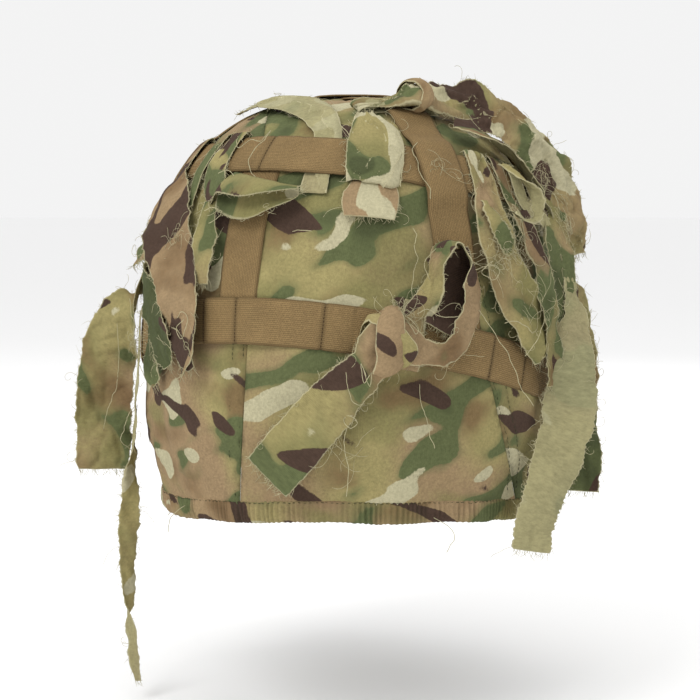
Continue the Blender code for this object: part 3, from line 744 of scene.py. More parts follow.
def tubes(lines, radius, sides):
    """Closed thin tubes along lines, an array of lines by points by 3. Gives points and faces."""
    lines = np.asarray(lines, float)
    count, steps = lines.shape[:2]
    run = unit(np.gradient(lines, axis=1) + 1e-9)
    helper = np.where(abs(run[..., 2:3]) < 0.9, np.array([0, 0, 1.0]), np.array([1.0, 0, 0]))
    side = unit(np.cross(run, helper))
    other = np.cross(run, side)
    turn = np.arange(sides) * 2 * math.pi / sides
    taper = np.ones(steps)
    taper[-1] = 0.4
    thick = np.asarray(radius).reshape(-1, 1) * taper
    ring = side[:, :, None] * np.cos(turn)[:, None] + other[:, :, None] * np.sin(turn)[:, None]
    points = lines[:, :, None] + ring * thick[..., None, None]
    base = np.arange(count)[:, None, None] * steps * sides
    i, j = np.meshgrid(np.arange(steps - 1), np.arange(sides), indexing="ij")
    k = (j + 1) % sides
    quads = np.stack([i * sides + j, i * sides + k, (i + 1) * sides + k, (i + 1) * sides + j], axis=-1)
    faces = (base[..., None] + quads[None]).reshape(-1, 4).tolist()
    ends = np.arange(count)[:, None] * steps * sides
    faces += (ends + np.arange(sides)[::-1]).tolist()
    faces += (ends + (steps - 1) * sides + np.arange(sides)).tolist()
    return points.reshape(-1, 3), faces


def tube_piece(name, groups, material):
    """One piece from several groups of tubes. Each group is lines, radius, sides."""
    points, faces, count = [], [], 0
    for lines, radius, sides in groups:
        p, f = tubes(lines, radius, sides)
        points.append(p)
        faces += [[k + count for k in face] for face in f]
        count += len(p)
    mesh = bpy.data.meshes.new(name)
    mesh.from_pydata(np.concatenate(points).tolist(), [], faces)
    mesh.materials.append(material)
    return shown(mesh)


# ---------------------------------------------------------------- materials

class Value:
    """A number that varies over a surface. Python's operators add the Math nodes."""

    def __init__(self, shading, socket):
        self.shading, self.socket = shading, socket

    def math(self, operation, a, b=None):
        values = {0: a} if b is None else {0: a, 1: b}
        return self.shading.node("ShaderNodeMath", {"operation": operation}, values)

    def __add__(self, other):
        return self.math("ADD", self, other)

    def __radd__(self, other):
        return self.math("ADD", other, self)

    def __sub__(self, other):
        return self.math("SUBTRACT", self, other)

    def __rsub__(self, other):
        return self.math("SUBTRACT", other, self)

    def __mul__(self, other):
        return self.math("MULTIPLY", self, other)

    def __rmul__(self, other):
        return self.math("MULTIPLY", other, self)

    def sin(self):
        return self.math("SINE", self)

    def step(self, low, high):
        """Smooth step from 0 at low to 1 at high."""
        return self.shading.node("ShaderNodeMapRange", {"interpolation_type": "SMOOTHSTEP"},
                                 {0: self, 1: low, 2: high, 3: 0.0, 4: 1.0})


class Shading:
    """A material's nodes."""

    def __init__(self, name, roughness, specular):
        self.material = bpy.data.materials.new(name)
        self.material.use_nodes = True
        self.tree = self.material.node_tree
        self.shader = self.tree.nodes["Principled BSDF"]
        self.shader.inputs["Roughness"].default_value = roughness
        self.shader.inputs["Specular IOR Level"].default_value = specular

    def node(self, kind, settings=None, inputs=None, output=0):
        """Add a node of this kind, set it up, and fill its sockets with values or links."""
        node = self.tree.nodes.new(kind)
        for key, value in (settings or {}).items():
            setattr(node, key, value)
        for key, value in (inputs or {}).items():
            if isinstance(value, Value):
                self.tree.links.new(value.socket, node.inputs[key])
            else:
                node.inputs[key].default_value = value
        return Value(self, node.outputs[output])

    def read(self, name, output="Vector"):
        return self.node("ShaderNodeAttribute", {"attribute_name": name}, output=output)

    def parts(self, vector):
        split = self.node("ShaderNodeSeparateXYZ", None, {0: vector})
        outputs = split.socket.node.outputs
        return [Value(self, outputs[i]) for i in range(3)]

    def slanted(self, along, across, slant, shift):
        """The cloth's own coordinates, scaled along and across blotches that lie at a slant."""
        x, y, z = self.parts(self.read("print"))
        return self.node("ShaderNodeCombineXYZ", None, {0: (x + z * slant) * along + shift,
                                                        1: y * along + shift * 2,
                                                        2: (z - x * slant) * across - shift})

    def noise(self, vector, scale, detail, roughness=0.5):
        return self.node("ShaderNodeTexNoise", None, {"Vector": vector, "Scale": scale, "Detail": detail,
                                                      "Roughness": roughness})

    def blend(self, factor, a, b):
        return self.node("ShaderNodeMix", {"data_type": "RGBA"}, {0: factor, 6: a, 7: b}, output=2)

    def feed(self, socket, value):
        self.tree.links.new(value.socket, self.shader.inputs[socket])

    def bump(self, height, strength, distance):
        self.feed("Normal", self.node("ShaderNodeBump", None,
                                      {"Height": height, "Strength": strength, "Distance": distance}))


def linear(colour, factor=1.0):
    """A colour picker value, 0 to 1 per channel, as linear light."""
    picked = np.asarray(colour[:3], float)
    light = np.where(picked <= 0.04045, picked / 12.92, ((picked + 0.055) / 1.055) ** 2.4)
    return (*[float(c) for c in light * factor], 1.0)


def weave_height(shading, thread):
    """Twill-like weave over the cloth's own coordinates. thread is the spacing in metres."""
    x, y, _ = shading.parts(shading.read("print"))
    turn = 2 * math.pi / thread
    fine = (x * turn + y * turn).sin() * 0.5 + (x * turn - y * turn * 0.5).sin() * 0.25
    return fine + shading.noise(shading.read("print"), 900.0, 2.0) * 2.0


# Blotches of the print. Columns: how many to a metre along and across their lie, slant, shift, detail,
# raggedness
BLOTCHES = {
    "ground": (11, 15, 0.3, 3.1, 1.0, 2.0),
    "olive": (16, 30, -0.4, 7.7, 1.0, 2.0),
    "haze": (18, 26, 0.7, 1.9, 1.5, 3.0),
    "leaves": (21, 42, 0.5, 5.3, 1.0, 1.0),
    "strokes": (20, 52, -0.6, 9.3, 0.8, 0.8),
    "spots": (34, 58, 0.2, 4.1, 0.4, 0.7),
}


def camouflage(shading, palette):
    """Blotches in a few earth colours, over the cloth's own coordinates. Gives the colour and its grain."""
    here = shading.read("print")
    green_more, brown_more, cream_more = shading.parts(shading.read("share"))
    tan_more = shading.parts(shading.read("edge"))[2]
    grain = shading.noise(here, 650.0, 2.0, 0.7)
    rough = grain * 0.035 + shading.noise(here, 210.0, 2.0, 0.65) * 0.03 - 0.0325
    field = {name: shading.noise(shading.slanted(along, across, slant, shift), 1.0, detail) + rough * ragged
             for name, (along, across, slant, shift, detail, ragged) in BLOTCHES.items()}
    leaves = field["leaves"] + green_more
    # From the ground up. Columns: where it lies, from none to all of it, strength, colour
    layers = [
        (field["olive"] + green_more, (0.48, 0.66), 0.75, "olive"),
        (field["haze"] + brown_more * 0.5, (0.52, 0.70), 0.8, "brown"),
        (leaves, (0.52, 0.60), 0.45, "green"),
        (leaves, (0.585, 0.603), 1.0, "green"),
        (field["leaves"] * 0.6 + field["olive"] * 0.4 + green_more, (0.64, 0.72), 0.6, "dark_green"),
        (field["spots"] + cream_more, (0.648, 0.664), 1.0, "cream"),
        (field["strokes"] + brown_more, (0.629, 0.642), 1.0, "dark_brown"),
    ]
    colour = shading.blend((field["ground"] - tan_more).step(0.40, 0.60), palette["tan"], palette["khaki"])
    for where, limits, strength, name in layers:
        colour = shading.blend(where.step(*limits) * strength, colour, palette[name])
    return colour, grain


def cloth_material(name, palette, printed=True):
    """Matt printed cloth, with torn threads showing where it was torn and painted shade in its grooves. The
    reverse is paler.
    """
    shading = Shading(name, 0.92, 0.12)
    colour, grain = camouflage(shading, palette)
    if not printed:
        colour = shading.blend(0.72, colour, palette["reverse"])
    wear = shading.noise(shading.read("print"), 75.0, 3.0, 0.6)
    shade = (wear - 0.5) * 0.40 + (grain - 0.5) * 0.75
    colour = shading.node("ShaderNodeHueSaturation", None, {"Color": colour, "Value": shade + 1.0})
    edge, groove, _ = shading.parts(shading.read("edge"))
    torn = 1 - (edge + (grain - 0.5) * 1.2).step(0.15, 0.75)
    colour = shading.blend(torn * 0.7, colour, palette["thread"])
    # Painted shade: darkens the cloth in the grooves of its seams and in the hollows of the hem's gathers
    colour = shading.blend(groove, colour, palette["dirt"])
    shading.feed("Base Color", colour)
    shading.bump(weave_height(shading, 0.9 * MM) * 0.25 + wear * 1.4, 0.6, 0.35 * MM)
    return shading.material


def webbing_material(name, palette, rib):
    """Elastic webbing: ribs along the band, knitted loops along each rib, fine pills. Painted shade darkens
    the hollows between ribs and loops, and a painted shadow darkens the band's edges.
    """
    shading = Shading(name, 0.9, 0.15)
    along, across, dark = shading.parts(shading.read("weave"))
    rib_wave = (across * (2 * math.pi / rib)).sin() * 0.5 + 0.5
    loops = (along * (2 * math.pi / (rib * 1.3))).sin() * (across * (math.pi / rib)).sin() * 0.5 + 0.5
    pills = shading.noise(shading.read("weave"), 800.0, 3.0, 0.7)
    broad = shading.noise(shading.read("weave"), 38.0, 3.0, 0.6)
    # Painted shade: the tops of the ribs and loops take the lit copy of the webbing's colour and their
    # hollows take the shaded copy; the pills and broad patches are the webbing's own tone
    level = rib_wave * 0.40 + loops * 0.22 + (pills - 0.5) * 1.1 + (broad - 0.5) * 0.8
    colour = shading.blend(level.step(-0.15, 0.95), palette["web_dark"], palette["web_light"])
    # Painted shadow along the band's edges, and darker across the band where it is tacked down
    colour = shading.blend(dark, colour, palette["web_stitch"])
    shading.feed("Base Color", colour)
    shading.bump(rib_wave * 0.8 + loops * 0.5 + pills * 0.9, 0.75, 0.35 * MM)
    return shading.material


def thread_material(name, colour):
    """Spun thread, a little mottled."""
    shading = Shading(name, 0.85, 0.2)
    where = shading.node("ShaderNodeTexCoord", output=3)
    mottle = shading.noise(where, 400.0, 2.0)
    shading.feed("Base Color", shading.blend(mottle.step(0.3, 0.7), linear(colour, 0.75), linear(colour)))
    return shading.material


class Cabinet:
    """The materials, made once from the settings."""

    made = {}

    @classmethod
    def get(cls, name):
        if not cls.made:
            cls.fill()
        return cls.made[name]

    @classmethod
    def fill(cls):
        cloth = bpy.context.scene.cover_cloth
        web = bpy.context.scene.cover_webbing
        palette = {key: linear(getattr(cloth, key)) for key in
                   ("tan", "khaki", "olive", "green", "dark_green", "brown", "dark_brown", "cream", "reverse",
                    "thread")}
        # Colour of the painted shade in the cloth's grooves
        palette["dirt"] = linear(cloth.dark_green, 0.4)
        # Lit and shaded copies of the webbing's colour, for its painted shade and its tone
        palette["web_light"], palette["web_dark"] = linear(web.colour, 1.15), linear(web.colour, 0.55)
        # Colour of the painted shadow at the webbing's edges and of the darkening at its tack lines
        palette["web_stitch"] = linear(web.colour, 0.25)
        cls.made["printed"] = cloth_material("camouflage_cloth", palette)
        cls.made["reverse"] = cloth_material("camouflage_reverse", palette, printed=False)
        cls.made["webbing"] = webbing_material("ribbed_webbing", palette, web.rib_spacing)
        cls.made["thread"] = thread_material("loose_thread", cloth.thread)
        cls.made["stitch"] = thread_material("olive_stitching", web.stitch_colour)
        cls.made["web_stitch"] = thread_material("brown_stitching", web.tack_colour)


# ---------------------------------------------------------------- cover

def hem_level(azimuth):
    return HEM_LEVEL + HEM_DIP * np.cos(2 * np.radians(azimuth))


def wall_polar(azimuth, level):
    """Polar angle of the form's upright wall at a height."""
    return 90 + np.degrees(np.arctan2(FORM_CENTRE[2] - level, wall_radius(azimuth)))


def seam_normal(seam):
    """Unit normal of a seam's plane, to the right of the cover."""
    side, _, spread = seam
    return unit(np.array([1, 0, side * spread]))


def seam_distance(points, seam):
    """Signed distance from a seam's plane, growing away from the centre panel."""
    side, at_crown, _ = seam
    return (points - np.array([side * at_crown * MM, 0, 0])) @ (seam_normal(seam) * side)


def cover_lift(azimuth, polar):
    """The main shape of the cloth over the form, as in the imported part."""
    n = direction(azimuth, polar)
    height = on_form(n, np.zeros(azimuth.shape))[..., 2]
    drop = smooth((SKIRT_TOP - height) / (SKIRT_TOP - hem_level(azimuth)))
    turn = np.radians(azimuth)
    folds = np.sin(SKIRT_FOLDS * turn + 1.3 * np.sin(2 * turn)) * (0.75 + 0.25 * np.sin(3 * turn + 1))
    lift = -DRAW_IN * drop + FOLD_DEPTH * drop * folds
    for at, down, half_length, half_width, depth, slant in TROUGHS:
        east = ((azimuth - at + 180) % 360 - 180) * np.sin(np.radians(polar))
        south = polar - down
        c, s = math.cos(math.radians(slant)), math.sin(math.radians(slant))
        along, across = c * east + s * south, c * south - s * east
        trough = np.exp(-(across / half_width) ** 2)
        lift = lift - depth * MM * trough * smooth(1.3 - abs(along) / half_length)
    return lift


def cover_wrinkles(azimuth, polar, points):
    """Small folds, puckers above the hem and along the seams. Gives the lift and the painted shade in its
    grooves.
    """
    azimuth, polar = np.broadcast_arrays(azimuth, polar)
    turn = np.radians(azimuth) * HALF_WIDTH / MM
    fall = polar * 2.3
    above = (points[..., 2] - hem_level(azimuth)) / MM
    skirt = smooth((62 - above) / 55)
    pucker = wander(turn / 5.2 + 0.25 * wander(turn / 20, fall / 12, 4), above / 26, 5)
    pucker = pucker + 0.6 * wander(turn / 2.9, above / 14, 9) * smooth((26 - above) / 20)
    creases = wander(turn / 22 + fall / 40, fall / 9 - turn / 60, 11)
    creases = 0.6 * (1 - 2 * abs(creases)) + 0.4 * wander(turn / 11, fall / 7, 17)
    soft = wander(turn / 34 + fall / 60, fall / 24 - turn / 50, 27)
    fine = wander(turn / 3.4, fall / 3.4, 23)
    lift = MM * (0.7 * skirt * pucker + 0.95 * creases + 1.1 * soft + 0.14 * fine)
    groove = np.zeros(lift.shape)
    for seam in (LEFT_SEAM, RIGHT_SEAM):
        away = seam_distance(points, seam) / MM
        fell = smooth((away + 0.6) / 0.9) * smooth((9.4 - away) / 0.9)
        drawn = sum(np.exp(-((away - row) / 0.9) ** 2) for row in SEAM_ROWS)
        ripple = wander(fall / 2.6, away * 0 + (1 if seam is LEFT_SEAM else 2), 31)
        lift = lift + MM * (0.75 * fell - 0.35 * drawn + 0.22 * ripple * np.exp(-((away - 4) / 7) ** 2))
        # Painted shade along the seam's fold and in the hollows where its stitch rows draw the cloth in
        groove = np.maximum(groove, 0.5 * np.exp(-((away + 0.3) / 0.55) ** 2))
        groove = np.maximum(groove, 0.22 * drawn * (0.6 + 0.4 * ripple))
    return lift, groove


def cover_surface(azimuth, polar, lower=0.0):
    """Points of the cloth's outside, lowered by a thickness, and the painted shade in its grooves."""
    n = direction(azimuth, polar)
    lift = cover_lift(azimuth, polar)
    extra, groove = cover_wrinkles(azimuth, polar, on_form(n, lift))
    return on_form(n, lift + extra - lower), groove


def over_cover(points):
    """How far right points lie, from -1 to 1, and how far up, from 0 at the hem to 1."""
    return points[..., 0] / HALF_WIDTH, (points[..., 2] - HEM_LEVEL) / COVER_HEIGHT


def panel_share(points):
    """Share of green, brown and cream in the print, which changes over the cover."""
    x, z = over_cover(points)
    low_left = smooth((-x - 0.45) / 0.2) * smooth((0.6 - z) / 0.2)
    green = 0.01 + 0.045 * smooth((z - 0.4) / 0.25) - 0.05 * low_left
    cream = -0.01 + 0.03 * smooth((-x - 0.4) / 0.25)
    return np.stack([green, np.full(x.shape, -0.01), cream], axis=-1)


def panel_tan(points):
    """How much the print's ground leans to tan."""
    x, z = over_cover(points)
    return 0.16 * smooth((-x - 0.5) / 0.15) * smooth((0.75 - z) / 0.2) - 0.05


def note_cover(piece, points, grooves, shift):
    """Keep what the printed cloth's material reads on a piece of the cover."""
    far = np.full(len(points), FAR_FROM_EDGE)
    note(piece, "print", points + np.array(shift))
    note(piece, "share", panel_share(points))
    note(piece, "edge", np.stack([far, grooves, panel_tan(points)], axis=-1))


def make_panel(name, cuts, columns, rows, shift):
    """One panel of the cover, cut out of the whole shell along its seams."""
    azimuth = np.arange(columns) * 360 / columns
    share = (np.arange(1, rows + 1) / rows)[:, None]
    polar = share * (wall_polar(azimuth, hem_level(azimuth)) - PANEL_END)
    azimuth = azimuth + 0 * polar
    outer, groove = cover_surface(azimuth, polar)
    inner, _ = cover_surface(azimuth, polar, COVER_SHEET)
    count = rows * columns
    faces = np.concatenate([grid_faces(rows, columns, 0, True, True), grid_faces(rows, columns, count, True),
                            rim_faces(np.arange((rows - 1) * columns, count), count)[:, ::-1]])
    points = np.concatenate([outer.reshape(-1, 3), inner.reshape(-1, 3)])
    # The painted shade in the grooves lies only on the cloth's outside
    grooves = np.concatenate([groove.ravel(), groove.ravel() * 0])
    bm = bmesh.new()
    layer = bm.verts.layers.float.new("groove")
    verts = [bm.verts.new(p) for p in points]
    for vert, value in zip(verts, grooves):
        vert[layer] = value
    for start, winding in ((0, 1), (count, -1)):
        peak = bm.verts.new(points[start:start + columns].mean(axis=0) + np.array([0, 0, 0.05 * MM]))
        for i in range(columns):
            corner = (verts[start + i], verts[start + (i + 1) % columns], peak)
            bm.faces.new(corner[::winding])
    for face in faces:
        bm.faces.new([verts[i] for i in face])
    for seam, keep in cuts:
        side, at_crown, _ = seam
        middle = np.array([side * at_crown * MM + keep * PANEL_GAP, 0, 0])
        bmesh.ops.bisect_plane(bm, geom=bm.verts[:] + bm.edges[:] + bm.faces[:], dist=1e-6,
                               plane_co=middle, plane_no=seam_normal(seam) * -keep, clear_outer=True)
        bmesh.ops.holes_fill(bm, edges=[e for e in bm.edges if e.is_boundary], sides=0)
    bm.normal_update()
    mesh = bpy.data.meshes.new(name)
    bm.to_mesh(mesh)
    bm.free()
    points = np.zeros(len(mesh.vertices) * 3)
    mesh.vertices.foreach_get("co", points)
    points = points.reshape(-1, 3)
    grooves = np.zeros(len(points))
    mesh.attributes["groove"].data.foreach_get("value", grooves)
    mesh.materials.append(Cabinet.get("printed"))
    piece = shown(mesh)
    note_cover(piece, points, grooves, shift)
    return piece


# The hem channel in section. Columns: height above the hem mm, out mm, share of the gathers
HEM_SECTION = [
    (12.6, -0.2, 0.1),
    (11.8, 0.25, 0.35),
    (10.2, 0.75, 0.8),
    (8, 1.05, 1),
    (5.5, 1.15, 1),
    (3, 1.0, 1),
    (1.2, 0.6, 0.8),
    (0.1, -0.2, 0.6),
    (0.3, -1.2, 0.5),
    (2, -1.8, 0.4),
    (6, -2.0, 0.4),
    (12, -1.7, 0.1),
]
HEM_SHIFT = (0.31, 0.05, 0.11)


def make_hem(columns):
    """The gathered channel along the hem."""
    azimuth = np.arange(columns) * 360 / columns
    turn = np.radians(azimuth) * HALF_WIDTH / MM
    gather = np.sin(2 * math.pi * (turn / 2.9 + 0.35 * wander(turn / 9, 0, 3)))
    gather = gather * (0.55 + 0.45 * wander(turn / 7, 2, 7)) + 0.7 * wander(turn / 4.3, 5, 8)
    sway = wander(turn / 13, 4, 12)
    rows, grooves = [], []
    for above, out, share in HEM_SECTION:
        level = hem_level(azimuth) + (above + 0.5 * sway + 0.35 * gather * (above < 4)) * MM
        polar = wall_polar(azimuth, level)
        shape, _ = cover_surface(azimuth[None], polar[None])
        n = direction(azimuth, polar)
        lift = (0.75 * gather * share + out) * MM
        rows.append(shape[0] + form_normal(n) * lift[:, None])
        # Painted shade: faint over the whole hem and deeper in the hollows of the gathers
        grooves.append(np.clip(0.04 - 0.26 * gather * share, 0, 0.32))
    points = np.concatenate(rows)
    faces = ring_faces(len(HEM_SECTION), columns, flip=True)
    piece = new_piece("cover_hem", points, faces, [Cabinet.get("printed")])
    note_cover(piece, points, np.concatenate(grooves), HEM_SHIFT)
    return piece


def hem_stitches():
    """Uneven stitches along the top of the hem channel."""
    rng = np.random.default_rng(5)
    length = 2 * math.pi * (HALF_WIDTH + HALF_LENGTH) / 2 / MM
    count = int(length / HEM_STITCH_PITCH)
    azimuth = (np.arange(count) + rng.uniform(-0.15, 0.15, count)) * 360 / count
    lines = []
    for at in azimuth:
        steps = at + np.linspace(-0.42, 0.42, 4)
        tip = np.linspace(-1, 1, 4) * rng.uniform(-0.3, 0.3)
        above = HEM_STITCH_LEVEL + 0.35 * wander(at / 2, 1, 2) + tip
        polar = wall_polar(steps, hem_level(steps) + above * MM)
        surface, _ = cover_surface(steps[None], polar[None])
        arch = (0.35 + 0.3 * np.sin(np.linspace(0, math.pi, 4))) * MM
        lines.append(surface[0] + form_normal(direction(steps, polar)) * arch[:, None])
    return np.array(lines)


def seam_stitches():
    """Two rows of stitches down each felled seam."""
    lines = []
    for side, at_crown, spread in (LEFT_SEAM, RIGHT_SEAM):
        for away in SEAM_ROWS:
            beside = side * (at_crown * MM + away * MM * math.hypot(1, spread))
            for facing in (-1, 1):
                for drop in np.linspace(4 * MM, SEAM_END, SEAM_STITCHES):
                    levels = -drop + np.linspace(-0.95, 0.95, 3) * MM
                    spot = stitch_spot(beside - side * spread * levels, levels, facing)
                    if spot is not None:
                        lines.append(spot)
    return np.array(lines)


def stitch_spot(x, z, facing):
    """Points on the cloth at these x and z, on the front or the back."""
    rise = np.clip((z - FORM_CENTRE[2]) / CROWN_RISE, 0, 0.9999)
    reach = (1 - rise ** ROUNDNESS) ** (1 / ROUNDNESS)
    inside = reach ** 2 - (x / HALF_WIDTH) ** 2
    if inside.min() < 0.01:
        return None
    y = facing * HALF_LENGTH * np.sqrt(inside)
    n = towards(np.stack([x, y, z], axis=-1))
    azimuth = np.degrees(np.arctan2(n[:, 0], -n[:, 1]))
    polar = np.degrees(np.arccos(n[:, 2]))
    surface, _ = cover_surface(azimuth[None], polar[None])
    return surface[0] + form_normal(n) * 0.12 * MM


# ---------------------------------------------------------------- webbing

# Lines of stitches that tack the webbing to the cover. Columns: webbing, places along it (azimuth or polar)
TACKS = {
    "ring_lower": (-60, -38, -27, -6.5, 33, 45, 75, 110, 140, 165, -165, -140, -115, -85),
    "ring_upper": (-42, -27, 8, 38, 62, 80, 105, 135, 160, -170, -145, -120, -100, -75),
}


def band_piece(name, n, lift, closed, places):
    """Fine mesh of a band of webbing. places are stations of its tack lines. Gives their stitches."""
    centre = on_form(n, lift)
    if closed:
        run = np.roll(centre, -1, axis=0) - np.roll(centre, 1, axis=0)
        step = np.linalg.norm(np.roll(centre, -1, axis=0) - centre, axis=1)
    else:
        run = np.gradient(centre, axis=0)
        step = np.linalg.norm(np.diff(centre, axis=0, append=centre[-1:]), axis=1)
    along = np.concatenate([[0], np.cumsum(step)[:-1]])
    across = unit(np.cross(form_normal(n), run))
    seed = seed_of(name)
    tacked = np.zeros(len(n))
    for station in places:
        away = abs(along - along[station])
        tacked = np.maximum(tacked, np.exp(-(away / (1.1 * MM)) ** 2))
    columns = 2 * BAND_COLUMNS
    s = np.concatenate([np.linspace(-1, 1, BAND_COLUMNS), np.linspace(1, -1, BAND_COLUMNS)])
    half = WEB_WIDTH / 2 * (1 - 0.012 * tacked) + 0.12 * MM * wander(along / (7 * MM), seed, 1)
    half = half - 0.10 * MM * wander(along / (2 * MM), seed + 3, 2)
    rows = len(n)
    sections = np.zeros((rows, columns, 3))
    for j in range(columns):
        rounded = 1 - abs(s[j]) ** 10
        wave = 0.10 * MM * wander(along / (6 * MM), s[j] * 2 + seed, 4)
        high = 0.15 * MM + (WEB_THICK - 0.25 * MM) * (0.45 + 0.55 * rounded) - 0.42 * MM * tacked + wave
        level = lift + (high if j < BAND_COLUMNS else 0.12 * MM)
        sections[:, j] = on_form(slide(n, across * (s[j] * half)[:, None]), level)
    if closed:
        faces = ring_faces(rows, columns).tolist()
    else:
        faces = grid_faces(rows, columns, 0, True).tolist()
        faces.append(list(range(columns))[::-1])
        faces.append([(rows - 1) * columns + j for j in range(columns)])
    mesh = bpy.data.meshes.new(name + "_woven")
    mesh.from_pydata(sections.reshape(-1, 3).tolist(), [], faces)
    mesh.materials.append(Cabinet.get("webbing"))
    piece = shown(mesh)
    # Painted shadow along the band's edges
    dark = np.exp(-((1 - abs(s)) * 12.75 / 0.5) ** 2) * 0.35
    weave = np.zeros((rows, columns, 3))
    weave[..., 0] = along[:, None]
    weave[..., 1] = s * WEB_WIDTH / 2
    # The darkening where the band is tacked down is added to the painted edge shadow
    weave[..., 2] = np.clip(dark + 0.5 * tacked[:, None], 0, 1)
    note(piece, "weave", weave)
    facing_out(piece)
    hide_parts(name)
    stitches = []
    for station in places:
        for offset in np.arange(-TACK_REACH, TACK_REACH + 0.1, TACK_PITCH):
            inner = slide(n[station], across[station] * (offset - TACK_HALF) * MM)
            outer = slide(n[station], across[station] * (offset + TACK_HALF) * MM)
            ends = np.stack([inner, unit(inner + outer), outer])
            stitches.append(on_form(ends, lift[station] + WEB_THICK + np.array([-0.55, -0.2, -0.55]) * MM))
    return stitches


def facing_out(piece):
    """Turn the mesh's faces outwards."""
    bm = bmesh.new()
    bm.from_mesh(piece.data)
    bmesh.ops.recalc_face_normals(bm, faces=bm.faces)
    bm.to_mesh(piece.data)
    bm.free()


# ---------------------------------------------------------------- strips

def torn_edge(along, seed, pinked):
    """How far an edge stands out or in, in metres."""
    step = along / MM
    ragged = 0.45 * wander(step / 1.6, 0, seed) + 0.9 * wander(step / 7, 1, seed)
    ragged = ragged + 0.5 * wander(step / 3.2, 2, seed)
    if pinked:
        ragged = ragged + 0.55 * (abs((step / 3.1) % 1 - 0.5) * 4 - 1)
    return ragged * MM


def creased(x, y, seed):
    """Soft hollows that meet in sharp ridges."""
    return 0.9 - 1.6 * np.sqrt(abs(wander(x, y, seed)) + 0.01)


def strip_shares(strip):
    if strip.get("scrap"):
        return strip["scrap"]
    if strip["name"] in CLOTH_CUTS:
        return CLOTH_CUTS[strip["name"]]
    seed = seed_of(strip["name"])
    return (0.05 * math.sin(seed), 0.03 * math.sin(seed * 2.1), 0.0, 0.08 * math.sin(seed * 3.7), False, seed)


def folded_over(run, s, mouth):
    """Section of a strip folded over along its length, with an open mouth of this length at its end."""
    t = np.clip((run.along - run.along[-1] + mouth) / mouth, 0, 1)[:, None]
    fold = -0.1
    front = np.clip((fold - s) / (1 + fold), 0, 1)
    back = np.clip((s - fold) / (1 - fold), 0, 1)
    opening = np.sin(math.pi * t ** 0.8) ** 0.6
    crease = -14.5 + 7.5 * t ** 2
    front_lip = 1.0 - 3.5 * t + 1.2 * wander(t * 4, 0, 2)
    back_lip = front_lip + 1 + 10 * opening + 0.9 * wander(t * 5, 1, 3)
    down = np.where(s < fold, crease + (front_lip - crease) * front, crease + (back_lip - crease) * back)
    outward = np.where(s < fold, -1 + (3 + 5.5 * opening) * np.sin(front * math.pi / 2),
                       -1 - 2 * np.sin(back * math.pi) + 4.5 * opening * back ** 3)
    return -down * MM, -outward * MM, smooth(t * 5)


def strip_surface(run, strip, columns):
    """Points of the strip's printed side and its reverse, and their places on the cloth."""
    pinked, seed = strip_shares(strip)[4:]
    s = np.linspace(-1, 1, columns)
    full = strip["width"] / 2 * MM
    step = run.along / MM
    left, right = torn_edge(run.along, seed, pinked), torn_edge(run.along + 0.4, seed + 1, pinked)
    grip = np.clip(1 - run.width / (strip["width"] * MM), 0, 1)
    near_edge = abs(s) ** 3
    across = s * run.width[:, None] / 2
    ragged = np.where(s < 0, -left[:, None], right[:, None])
    across = across + near_edge * ragged * (0.4 + 0.6 * run.free[:, None])
    loose = 0.22 + 0.78 * run.free[:, None]
    station = step[:, None]
    side = s * run.width[:, None] / 2 / MM
    folds = wander(station / 12 + s * 0.9, side / 9 + 3, seed)
    folds = folds + 0.5 * wander(station / 6 - s * 0.8, side / 6, seed + 5)
    folds = folds + 0.9 * creased(station / 11 + side / 14, side / 8 - station / 24, seed + 6)
    folds = folds * CRUMPLE.get(strip["name"], 1) + 0.18 * wander(station / 2.6, side / 2.6, seed + 7)
    curl = 2.8 * abs(s) ** 3 * wander(station / 12, np.sign(s) + 7, seed + 8)
    tilt = 0.10 * s * run.width[:, None] / MM * wander(station / 22, 11, seed + 9) * np.ones_like(s)
    pleats = 0.7 * np.sin(math.pi * s * 3.4 + 0.4 * np.sin(station / 6)) * (0.2 + grip[:, None])
    out = run.bow[:, None] * (1 - abs(s)) + MM * loose * (folds * 0.9 + curl * 0.7 + tilt) + MM * 0.5 * pleats
    layer_edge = np.full((len(step), columns), NO_LAYER)
    for name, at, rise, lean in LAYERS:
        if name == strip["name"]:
            way = side - (at + lean * station + 0.8 * wander(station / 6, at, seed + 10)) * full / MM
            out = out + rise * MM * (smooth(way / 0.9 + 0.5) - 0.5) * np.minimum(1, (1 - abs(s)) * 4)
            layer_edge = np.minimum(layer_edge, np.where(way > 0, abs(way - 0.5), NO_LAYER))
    if strip["name"] in MOUTHS:
        across_mouth, out_mouth, share = folded_over(run, s, MOUTHS[strip["name"]])
        across = across + (across_mouth - across) * share
        out = out + (out_mouth - out) * share
    swell = (run.thick[:, None] - CLOTH) / 2 * np.sqrt(np.clip(1 - s * s, 0, 1))
    lumps = swell * 0.18 * wander(station / 5 + s * 2, s * 2.2, seed + 2)
    lumps = lumps + swell * 0.12 * np.sin(station / 2.2 + s * 3)
    upper = run.place(across, out + STRIP_HALF + swell + lumps)
    lower = run.place(across, out - STRIP_HALF - swell - lumps)
    place = np.zeros((len(step), columns, 3))
    place[..., 0] = run.along[:, None] + 0.13 * seed
    place[..., 2] = (s * full) * np.ones((len(step), 1)) + 0.05 * seed
    place[..., 1] = 0.31 * seed
    edge = (1 - abs(s)) * run.width[:, None] / 2 / MM
    end = (run.along[-1] - run.along)[:, None] / MM
    edge = np.minimum(np.minimum(edge, end), layer_edge)
    return upper, lower, place, edge


def patched(strip, points, shares):
    """Shares of green, brown, cream and tan at each point of a strip."""
    values = np.tile(np.array(shares, float), (len(points), 1))
    for name, azimuth, polar, radius, *change in PATCHES:
        if name == strip["name"]:
            place = on_form(direction(float(azimuth), float(polar)), PATCH_LIFT)
            near = smooth(1.6 - np.linalg.norm(points - place, axis=1) / (radius * MM))
            values += near[:, None] * np.array(change)
    return values


